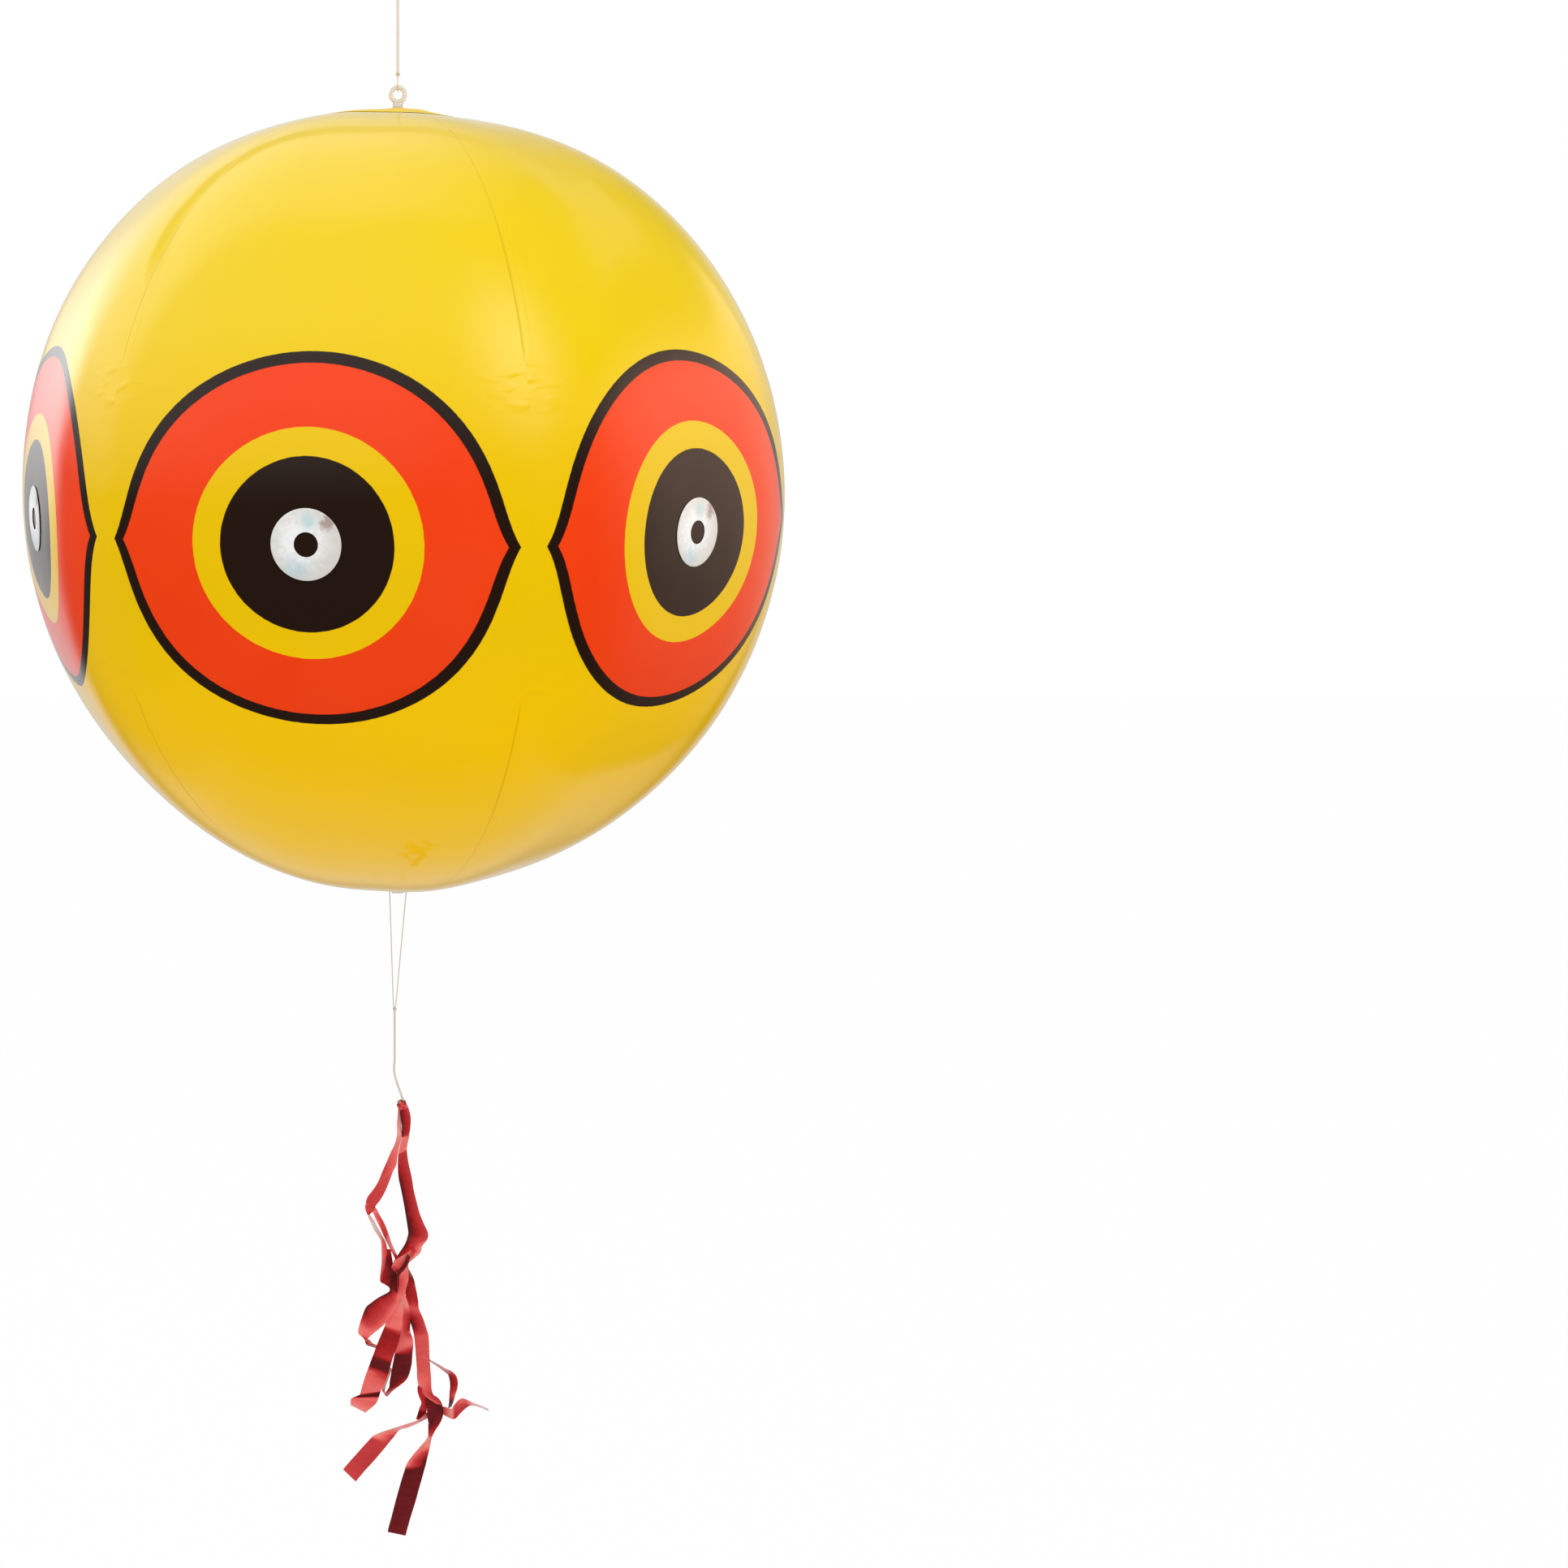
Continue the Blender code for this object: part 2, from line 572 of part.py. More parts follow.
# Routes of the ribbons: x, y, z and width in ribbon widths from the tie, twist in degrees.
RIBBON_SHARES = {
    "ribbon_left": [(0.0, -0.04, 0.2, 0.19, 0), (0.0, -0.04, -0.3, 0.19, 0),
                    (-0.1, -0.15, -0.7, 0.6, 5), (-0.23, -0.3, -1.3, 0.95, 15), (-0.41, -0.45, -2.24, 0.9, 25),
                    (-0.74, -0.6, -3.38, 0.95, 10), (-1.29, -0.7, -4.56, 1.0, -10),
                    (-1.72, -0.72, -5.55, 0.9, -25), (-1.55, -0.6, -6.6, 0.5, -40),
                    (-1.02, -0.4, -7.92, 0.35, -20), (-0.5, -0.11, -9.1, 0.4, 0),
                    (-0.34, -0.06, -10.6, 0.5, 0)],
    "ribbon_middle": [(0.0, 0.04, 0.2, 0.19, 0), (0.0, 0.04, -0.3, 0.19, 0),
                      (0.05, 0.15, -0.75, 0.6, -5), (0.09, 0.3, -1.57, 0.95, -15), (-0.04, 0.45, -2.86, 0.85, -30),
                      (-0.09, 0.5, -3.93, 0.8, -20), (0.19, 0.5, -5.4, 0.9, 0),
                      (0.47, 0.5, -6.64, 0.95, 15), (0.85, 0.45, -7.7, 0.9, 20),
                      (0.7, 0.3, -8.5, 0.45, 10), (-0.1, 0.03, -9.3, 0.4, 0),
                      (-0.32, 0.0, -10.6, 0.5, 0)],
    "ribbon_strand": [(-1.94, -0.95, -6.48, 0.3, 0), (-1.72, -0.95, -7.21, 0.3, 0),
                      (-1.55, -0.8, -7.9, 0.3, 0), (-1.2, -0.5, -8.6, 0.35, 0),
                      (-0.55, -0.13, -9.3, 0.35, 0), (-0.36, -0.12, -10.6, 0.4, 0)],
    "ribbon_right": [(1.1, 0.62, -8.1, 0.9, 0), (0.75, 0.56, -9.2, 0.95, 0),
                     (0.45, 0.46, -10.1, 1.0, 0), (0.42, 0.46, -11.0, 1.0, 0),
                     (0.55, 0.5, -12.2, 0.95, 0), (0.81, 0.5, -13.5, 1.0, 0),
                     (1.0, 0.5, -15.1, 1.0, 0), (1.05, 0.4, -16.6, 0.9, 0),
                     (1.34, 0.14, -17.7, 0.5, 0), (1.46, 0.0, -18.25, 0.34, 0),
                     (1.64, 0.0, -18.9, 0.3, 0)],
    "ribbon_left_loop": [(-0.34, -0.18, -10.2, 0.45, 0), (-0.36, -0.18, -11.0, 0.5, 0),
                         (-0.62, -0.3, -11.6, 0.6, 0),
                         (-1.44, -0.5, -11.9, 0.6, 0), (-2.23, -0.7, -12.4, 0.55, 0),
                         (-2.45, -0.7, -13.11, 0.5, 0), (-2.05, -0.6, -13.9, 0.5, 0),
                         (-1.31, -0.5, -14.01, 0.5, 0), (-0.65, -0.4, -13.65, 0.5, 0)],
    "ribbon_left_end": [(-0.32, 0.06, -10.2, 0.5, 0), (-0.34, 0.05, -11.1, 0.5, 0),
                        (-0.4, -0.05, -12.2, 0.7, 0),
                        (-0.6, -0.22, -13.7, 0.95, 0), (-1.31, -0.45, -15.02, 1.0, 0),
                        (-1.97, -0.6, -16.34, 1.0, 10), (-2.58, -0.6, -17.71, 1.0, 20)],
    "ribbon_dark_loop": [(-0.3, 0.12, -10.2, 0.5, 0), (-0.26, 0.12, -11.1, 0.5, 0),
                         (-0.1, 0.12, -12.2, 0.6, 0),
                         (0.15, 0.1, -13.6, 0.7, 0), (0.29, 0.12, -15.05, 0.7, 0),
                         (0.11, 0.15, -16.62, 0.65, 0), (-0.46, 0.15, -17.49, 0.55, 0),
                         (-0.99, 0.15, -17.75, 0.5, 0), (-1.08, 0.15, -16.98, 0.5, 0),
                         (-0.75, 0.15, -16.02, 0.5, 0)],
    "ribbon_right_loop": [(1.35, 0.58, -15.3, 0.4, 0), (2.22, 0.4, -16.02, 0.45, 0),
                          (2.84, 0.1, -16.69, 0.45, 0), (2.94, -0.1, -17.61, 0.5, 0),
                          (2.62, -0.05, -18.3, 0.5, 0)],
    "ribbon_short_end": [(2.32, 0.0, -18.95, 0.5, 0), (3.18, -0.1, -18.6, 0.45, 0),
                         (4.12, -0.2, -18.55, 0.4, 0), (4.92, -0.3, -18.73, 0.35, 0)],
    "ribbon_lower_left": [(1.6, -0.05, -18.8, 0.3, 0), (1.84, -0.05, -19.55, 0.3, 0),
                          (1.5, -0.15, -20.0, 0.6, 0), (0.7, -0.25, -20.25, 0.9, 0), (-0.2, -0.35, -20.5, 1.0, 0),
                          (-1.5, -0.5, -21.2, 1.0, 10), (-2.74, -0.6, -22.12, 1.0, 15),
                          (-3.21, -0.6, -22.48, 1.0, 15)],
    "ribbon_bottom": [(1.6, 0.05, -18.8, 0.3, 0), (1.85, 0.05, -19.6, 0.3, 0),
                      (1.75, 0.15, -20.15, 0.7, 0),
                      (1.25, 0.22, -21.36, 1.0, 0), (0.65, 0.3, -22.97, 1.0, -10),
                      (0.1, 0.3, -24.79, 1.0, -20), (-0.45, 0.3, -26.6, 1.0, -15)],
}
UPPER_WRAP_SHARES = (-0.32, 0.0, -10.4)
LOWER_WRAP_SHARES = (1.64, 0.0, -18.85)


def make_valve():
    """The inflation valve: welded flange, sliding stem with a check flap, and a stopper."""
    spot = ball_point(VALVE_TURN, VALVE_TILT)
    out = (ball_point(VALVE_TURN, VALVE_TILT, VALVE_FLANGE) - spot).normalized()
    matrix = Matrix.Translation(spot) @ out.to_track_quat("Z", "Y").to_matrix().to_4x4()
    hole = VALVE_STEM_RADIUS + TOUCH
    low = TOUCH
    rim = 0.3 * VALVE_FLANGE
    collar = VALVE_FLANGE * 2
    turned("valve_flange", [(hole, low), (VALVE_FLANGE_RADIUS - rim, low), (VALVE_FLANGE_RADIUS, low + rim),
                            (VALVE_FLANGE_RADIUS - rim, low + VALVE_FLANGE),
                            (hole + 2 * VALVE_FLANGE, low + VALVE_FLANGE),
                            (hole + VALVE_FLANGE, low + collar), (hole, low + collar)],
           clear_vinyl(), matrix)
    lip = low + collar + TOUCH
    top = lip + VALVE_LIP
    foot = top - VALVE_STEM_LENGTH
    head = VALVE_STEM_RADIUS + VALVE_LIP * 0.75
    turned("valve_stem", [(VALVE_BORE, top), (VALVE_BORE, foot), (VALVE_STEM_RADIUS, foot),
                          (VALVE_STEM_RADIUS, lip), (head, lip), (head, top)][::-1],
           clear_vinyl(), matrix, sides=28)
    turned("valve_flap", [(0, foot - TOUCH), (VALVE_STEM_RADIUS, foot - TOUCH),
                          (VALVE_STEM_RADIUS, foot - TOUCH - VALVE_FLAP), (0, foot - TOUCH - VALVE_FLAP)],
           clear_vinyl(), matrix, sides=28)
    plug = VALVE_BORE - TOUCH
    seat = top + TOUCH
    turned("valve_stopper", [(0, seat + STOPPER_CAP), (STOPPER_CAP_RADIUS - rim, seat + STOPPER_CAP),
                             (STOPPER_CAP_RADIUS, seat + STOPPER_CAP - rim), (STOPPER_CAP_RADIUS, seat),
                             (plug, seat), (plug * STOPPER_TAPER_SHARE, seat - STOPPER_PLUG_LENGTH),
                             (0, seat - STOPPER_PLUG_LENGTH)], clear_vinyl(), matrix, sides=28)
    cutter = turned("valve_hole", [(0, -VALVE_STEM_LENGTH / 2), (hole, -VALVE_STEM_LENGTH / 2),
                                   (hole, VALVE_STEM_LENGTH / 2), (0, VALVE_STEM_LENGTH / 2)],
                    clear_vinyl(), matrix)
    add_cut(bpy.data.objects[f"gore_{VALVE_GORE}"], cutter)
    return spot, out


def clear_scene():
    for piece in list(bpy.data.objects):
        bpy.data.objects.remove(piece)


def main():
    clear_scene()
    for number in range(GORES):
        make_gore(number)
    for number in range(GORES):
        make_sticker(number)
    make_top_patch()
    make_bottom_patch()
    make_hang_eye()
    saddle, string_z = make_tail_saddle()
    knot_z, loop_z = make_hang_line()
    tie = make_tail(string_z)
    winding("ribbon_tie", tie - Vector((0, 0, STRING)), 1.6 * STRING, 2.5, 1.3 * STRING)
    for name, shares in RIBBON_SHARES.items():
        make_ribbon(name, tie - Vector((0, 0, 2 * STRING)), shares)
    start = tie - Vector((0, 0, 2 * STRING))
    make_wrap("upper_wrap", start, UPPER_WRAP_SHARES, (0.48, 0.24), 2.2, 0.8, lean=math.radians(8))
    make_wrap("lower_wrap", start, LOWER_WRAP_SHARES, (0.33, 0.14), 1.8, 0.3, lean=math.radians(-20))
    valve_spot, valve_out = make_valve()
    print("ball middle", BALL_Z, "spin at", knot_z, "ball hinge", loop_z, "tail hinge", string_z)
    print("tie", tuple(tie), "valve", tuple(valve_spot), tuple(valve_out))


main()
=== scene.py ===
"""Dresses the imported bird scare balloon: printed film gores, hanging eye, strings, foil ribbons and valve.

Metres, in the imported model's frame: +Z up, the front of the ball faces -Y.
"""
import math

import bmesh
import bpy
import numpy as np
from bpy.props import FloatProperty, IntProperty, PointerProperty
from mathutils import Matrix, Vector, noise


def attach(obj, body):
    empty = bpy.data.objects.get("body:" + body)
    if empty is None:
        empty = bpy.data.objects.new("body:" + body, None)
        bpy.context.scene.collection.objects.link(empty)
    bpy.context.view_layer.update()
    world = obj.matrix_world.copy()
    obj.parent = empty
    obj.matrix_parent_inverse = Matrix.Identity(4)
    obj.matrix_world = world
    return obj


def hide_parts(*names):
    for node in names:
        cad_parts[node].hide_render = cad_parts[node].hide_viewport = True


bl_info = {
    "name": "Bird scare balloon",
    "version": (1, 0, 0),
    "blender": (4, 5, 0),
    "location": "View3D > Sidebar > Balloon",
    "description": "Builds the printed ball, its hanging string, foil ribbons and valve on the packed model",
    "category": "Object",
}

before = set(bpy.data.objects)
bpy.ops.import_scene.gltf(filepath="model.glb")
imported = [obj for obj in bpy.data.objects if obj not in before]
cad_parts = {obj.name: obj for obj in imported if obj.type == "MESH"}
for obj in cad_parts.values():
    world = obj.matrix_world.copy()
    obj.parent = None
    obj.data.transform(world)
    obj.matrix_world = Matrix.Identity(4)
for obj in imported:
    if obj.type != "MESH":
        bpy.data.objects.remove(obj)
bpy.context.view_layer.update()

MM = 0.001
GORES = 6
TOUCH = 0.3 * MM
FIRST_SEAM = math.radians(17.6)
TOP_POLE_Z = -83.2 * MM
BALL_Z = -282.955 * MM
TIE = Vector((2.34, 0, -617.939)) * MM
VALVE_SPOT = Vector((-1.8955, 135.7475, -434.4939)) * MM
VALVE_OUT = Vector((-0.009764, 0.699226, -0.714834))
VALVE_GORE = 3
VALVE_HOLE = 4.9

# The ball's form: how near the poles the press begins; the upper half's fullness as a share of its size, halfway
# round and how it changes to the right, and how fast it rises over the equator and how near the pole it ends
POLE_POWER = 8
FULL_MEAN, FULL_SIDE = 0.6, -0.4
FULL_RISE, FULL_END = 6, 200


# Sizes and colours that a user would change


class BalloonBall(bpy.types.PropertyGroup):
    radius: FloatProperty(name="Radius", description="Mean radius of the equator", default=200 * MM, unit="LENGTH")
    half_height: FloatProperty(
        name="Half height", description="Half height before the poles are trimmed", default=207 * MM, unit="LENGTH")
    seam_swell: FloatProperty(
        name="Seam swell", description="Share by which the seams stand out", default=0.025, subtype="FACTOR")
    top_press: FloatProperty(
        name="Top press", description="Share by which the top pole is pressed down", default=0.035, subtype="FACTOR")
    bottom_press: FloatProperty(
        name="Bottom press", description="Share by which the bottom pole is pressed up", default=-0.012)
    film: FloatProperty(name="Film", description="Film thickness", default=0.3 * MM, unit="LENGTH")
    lap: FloatProperty(name="Lap", description="Width of a welded lap", default=4 * MM, unit="LENGTH")
    pole_opening: FloatProperty(
        name="Pole opening", description="Radius left open under the pole patches", default=9 * MM, unit="LENGTH")
    pucker: FloatProperty(
        name="Pucker", description="Depth of the gathers along the seams", default=0.16 * MM, unit="LENGTH")
    fullness: FloatProperty(
        name="Fullness", description="How far the upper half stands out, most at the left",
        default=3.4 * MM, unit="LENGTH")
    sway: FloatProperty(
        name="Film sway", description="Depth of the film's broad unevenness", default=0.5 * MM, unit="LENGTH")
    columns: IntProperty(name="Columns", description="Points across a gore", default=84)
    rows: IntProperty(name="Rows", description="Points from pole to pole", default=240)
    seed: IntProperty(name="Seed", description="Seed of the gathers", default=5)


class BalloonPrint(bpy.types.PropertyGroup):
    outline_radius: FloatProperty(
        name="Eye radius", description="Height of the printed eye over its middle, in mm", default=89.0)
    outline_swell: FloatProperty(
        name="Eye swell", description="How much wider than high the eye is, in mm", default=2.6)
    tip_reach: FloatProperty(name="Tip reach", description="Length of the eye's pointed corners, in mm", default=7.0)
    tip_angle: FloatProperty(name="Tip angle", description="How fast the corners run out, in degrees", default=7.0)
    outline_band: FloatProperty(name="Outline band", description="Width of the black outline, in mm", default=5.6)
    ring_radius: FloatProperty(name="Ring radius", description="Outer radius of the yellow ring, in mm", default=54.5)
    pupil_radius: FloatProperty(name="Pupil radius", description="Radius of the black pupil, in mm", default=41.2)
    middle: FloatProperty(name="Eye middle", description="Height of the eye over the equator, in mm", default=-3.4)
    sticker_radius: FloatProperty(
        name="Sticker radius", description="Radius of the foil sticker", default=16.6 * MM, unit="LENGTH")
    sticker_hole: FloatProperty(
        name="Sticker hole", description="Radius of the hole punched through the sticker",
        default=5.7 * MM, unit="LENGTH")


class BalloonTail(bpy.types.PropertyGroup):
    string: FloatProperty(name="String", description="Diameter of one string", default=0.66 * MM, unit="LENGTH")
    lay: FloatProperty(
        name="Lay", description="Length of one twist of the string's strands", default=2.6 * MM, unit="LENGTH")
    ribbon_width: FloatProperty(
        name="Ribbon width", description="Width that a ribbon was cut to", default=11 * MM, unit="LENGTH")
    foil: FloatProperty(name="Foil", description="Thickness of the ribbon foil", default=0.12 * MM, unit="LENGTH")
    ribbon_lean: FloatProperty(
        name="Ribbon lean", description="Most that a ribbon's face turns into the depth", default=6 * MM, unit="LENGTH")
    crinkle: FloatProperty(
        name="Crinkle", description="Depth of the foil's crinkles", default=0.3 * MM, unit="LENGTH")


class BalloonStage(bpy.types.PropertyGroup):
    floor_drop: FloatProperty(
        name="Floor drop", description="Height of the hanging point over the floor", default=1.9, unit="LENGTH")
    key: FloatProperty(name="Key lamp", description="Power of the overhead soft lamp, in watts", default=13.3)
    fill: FloatProperty(name="Surroundings", description="Brightness of the pale room", default=0.97)
    glow: FloatProperty(name="Glow", description="How much brighter the lamp's diffuser is in gloss", default=3.0)


# Small helpers


def linear(code, alpha=1.0):
    """An sRGB hex colour as linear RGBA."""
    parts = [int(code[at:at + 2], 16) / 255 for at in (1, 3, 5)]
    return (*[p / 12.92 if p <= 0.04045 else ((p + 0.055) / 1.055) ** 2.4 for p in parts], alpha)


def add(tree, kind, inputs=(), **settings):
    """Adds one node with its settings, and links or fills its inputs."""
    node = tree.nodes.new(kind)
    for name, value in settings.items():
        setattr(node, name, value)
    for key, value in dict(inputs).items():
        named = [socket for socket in node.inputs if socket.enabled and socket.name == key]
        socket = named[0] if named else node.inputs[key]
        if isinstance(value, bpy.types.NodeSocket):
            tree.links.new(value, socket)
        else:
            socket.default_value = value
    return node


def new_material(name, **settings):
    """A Principled material, its node tree and its shader, with settings put on the shader's own sockets."""
    material = bpy.data.materials.new(name)
    material.use_nodes = True
    shader = material.node_tree.nodes["Principled BSDF"]
    for key, value in settings.items():
        shader.inputs[key.replace("_", " ")].default_value = value
    return material, material.node_tree, shader


def settle(piece, body, slot, *nodes):
    """A finished piece rides on its body and takes the place of its CAD nodes; slot, the name of its finish, is not
    used.
    """
    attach(piece, body)
    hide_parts(*nodes)
    return piece


def new_piece(name, mesh, material):
    """An object in the scene with its mesh and its material."""
    piece = bpy.data.objects.new(name, mesh)
    bpy.context.scene.collection.objects.link(piece)
    if material and not mesh.materials:
        mesh.materials.append(material)
    return piece


def mesh_from(name, points, faces, close=True):
    """A smooth mesh from points and faces; on a closed form the doubles are merged and the faces turned out."""
    mesh = bpy.data.meshes.new(name)
    mesh.from_pydata([tuple(p) for p in points], [], faces)
    if close:
        work = bmesh.new()
        work.from_mesh(mesh)
        bmesh.ops.remove_doubles(work, verts=work.verts, dist=0.01 * MM)
        bmesh.ops.recalc_face_normals(work, faces=work.faces)
        work.to_mesh(mesh)
        work.free()
    mesh.shade_smooth()
    return mesh


def between_rows(first, stop, columns):
    """The faces between the rows of points from first to stop, each row of as many columns."""
    return [(at, at + 1, at + columns + 1, at + columns)
            for base in range(first, stop - columns, columns) for at in range(base, base + columns - 1)]


def smooth_rows(rows, step):
    """Rows of numbers on a smooth curve through the given rows, a step apart in their first three."""
    rows = [np.array(row, float) for row in rows]
    ends = [rows[0] * 2 - rows[1], *rows, rows[-1] * 2 - rows[-2]]
    found = [rows[0]]
    for at in range(1, len(ends) - 2):
        a, b, c, d = ends[at - 1:at + 3]
        parts = max(1, round(np.linalg.norm((c - b)[:3]) / step))
        for part in range(1, parts + 1):
            t = part / parts
            found.append(0.5 * (2 * b + (c - a) * t + (2 * a - 5 * b + 4 * c - d) * t * t
                                + (3 * b - a - 3 * c + d) * t * t * t))
    return found


# What a word in work_out's sums adds: a kind of node, the names of its inputs in order, its settings and its output
SPAN = ("Value", "From Min", "From Max", "To Min", "To Max")
WORDS = {
    "smooth": ("MapRange", SPAN, {"interpolation_type": "SMOOTHSTEP"}, 0),
    "spread": ("MapRange", SPAN, {}, 0),
    "blend": ("Mix", ("Factor", "A", "B"), {"data_type": "RGBA"}, 2),
    "noise": ("TexNoise", ("Vector", "Scale", "Detail", "Roughness", "Distortion"), {}, 0),
    "bump": ("Bump", ("Height", "Strength", "Distance", "Normal"), {}, 0),
    "point": ("CombineXYZ", (0, 1, 2), {}, 0),
    "moved": ("VectorMath", (0, 1), {"operation": "ADD"}, 0),
    "scaled": ("VectorMath", (0, "Scale"), {"operation": "SCALE"}, 0),
    "crossed": ("VectorMath", (0, 1), {"operation": "CROSS_PRODUCT"}, 0),
    "unit": ("VectorMath", (0,), {"operation": "NORMALIZE"}, 0)}
SIGNS = {"+": "ADD", "-": "SUBTRACT", "*": "MULTIPLY", "/": "DIVIDE"}


def work_out(tree, known, sums):
    """Adds one node for each sum in a text of sums that commas or lines part, and keeps its output by name.

    A sum is a name, =, and either values with signs between them or a word and its values. The words are those
    above and the math node's operations. A value is a name, a number or an sRGB hex colour.
    """
    for line in sums.replace("\n", ",").split(","):
        name, *parts = line.replace("=", " ").split() or [None]
        if not name:
            continue
        kind, inputs, settings, output = "Math", (0, 1, 2), {}, 0
        if parts[0] in WORDS:
            kind, inputs, settings, output = WORDS[parts.pop(0)]
        elif len(parts) == 5:
            settings, parts = {"operation": "MULTIPLY_ADD"}, parts[::2]
        elif parts[1] in SIGNS:
            settings, parts = {"operation": SIGNS[parts[1]]}, parts[::2]
        else:
            settings = {"operation": parts.pop(0).upper()}
        values = [known[part] if part in known else linear(part) if part[0] == "#" else float(part) for part in parts]
        known[name] = add(tree, "ShaderNode" + kind, dict(zip(inputs, values)), **settings).outputs[output]
    return known


def dress(tree, shader, known, **sockets):
    """Links outputs that work_out named to the shader's own sockets."""
    for key, name in sockets.items():
        tree.links.new(known[name], shader.inputs[key.replace("_", " ")])


def set_stops(ramp, stops):
    """Sets a colour ramp's stops from their spots and colours."""
    elements = ramp.color_ramp.elements
    while len(elements) < len(stops):
        elements.new(0.5)
    for element, (spot, colour) in zip(elements, stops):
        element.position = spot
        element.color = colour


def node_group(name, inputs):
    """A Geometry Nodes group with named inputs; returns the tree, its inputs by name and its output node."""
    tree = bpy.data.node_groups.new(name, "GeometryNodeTree")
    for label, kind in inputs:
        tree.interface.new_socket(name=label, in_out="INPUT", socket_type="NodeSocket" + kind)
    tree.interface.new_socket(name="Geometry", in_out="OUTPUT", socket_type="NodeSocketGeometry")
    start = tree.nodes.new("NodeGroupInput")
    return tree, {socket.name: socket for socket in start.outputs if socket.name}, tree.nodes.new("NodeGroupOutput")


def end_group(tree, shape, finish, end):
    """Ends a group: its instances are made real and get their material."""
    real = add(tree, "GeometryNodeRealizeInstances", {"Geometry": shape.outputs[0]})
    done = add(tree, "GeometryNodeSetMaterial", {"Geometry": real.outputs[0], "Material": finish})
    tree.links.new(done.outputs[0], end.inputs[0])
    return tree


def plain_mesh(piece, name):
    """The plain mesh that a piece's modifiers make."""
    graph = bpy.context.evaluated_depsgraph_get()
    mesh = bpy.data.meshes.new_from_object(piece.evaluated_get(graph), depsgraph=graph)
    mesh.name = name
    return mesh


def grown_mesh(name, source, tree, values):
    """The plain mesh that a node group makes from a source mesh and its named inputs."""
    holder = new_piece(name + "_source", source, None)
    step = holder.modifiers.new("nodes", "NODES")
    step.node_group = tree
    for item in tree.interface.items_tree:
        if item.in_out == "INPUT" and item.name in values:
            step[item.identifier] = values[item.name]
    mesh = plain_mesh(holder, name)
    bpy.data.objects.remove(holder)
    mesh.shade_smooth()
    return mesh


def thickened(piece, depth, edge=0.0, offset=-1):
    """Gives a sheet its thickness, softens its edge and keeps its corners crisp, all in a plain mesh."""
    thick = piece.modifiers.new("thickness", "SOLIDIFY")
    thick.thickness = depth
    thick.offset = offset
    if edge:
        soft = piece.modifiers.new("edge", "BEVEL")
        soft.width = edge
        soft.segments = 2
        soft.limit_method = "ANGLE"
    mesh = plain_mesh(piece, piece.data.name)
    piece.modifiers.clear()
    piece.data = mesh
    mesh.set_sharp_from_angle(angle=math.radians(50))


def store(mesh, name, values):
    """Stores a number, or a point of three, for each of a mesh's points."""
    values = np.array(values, float)
    kind, field = ("FLOAT", "value") if values.ndim == 1 else ("FLOAT_VECTOR", "vector")
    mesh.attributes.new(name, kind, "POINT").data.foreach_set(field, values.ravel())


# Studio: the camera, the ways from the ball's middle to the lamps and the glow, the room's light from bottom to top

CAMERA_SPOT = Vector((0, -1.2395, BALL_Z + 0.1039))
CAMERA_LENS, CAMERA_SHIFT, CAMERA_DIP = 52.8, 0.2463, 11.75
KEY_WAY = (0.33, -0.61, 0.72)
LEFT_WAY = (-0.86, 0.42, 0.34)
GLOW_WAY = (0.488, -0.561, 0.669)
ROOM_LIGHT = ((0, 0.1), (0.25, 0.03), (0.4, 0.03), (0.54, 0.05), (0.62, 0.35), (0.72, 0.6), (0.8, 0.7), (0.9, 0.9))
WARM_LIGHT = (0.92, 0.66, 0.52)
GAP_LIGHT = (0.5, 0.5, 0.5, 1)
WHITE = (1, 1, 1, 1)
FLOOR_LEFT, FLOOR_RIGHT, FLOOR_FRONT, FLOOR_BACK = -1.9, 6.0, -0.45, 9.0


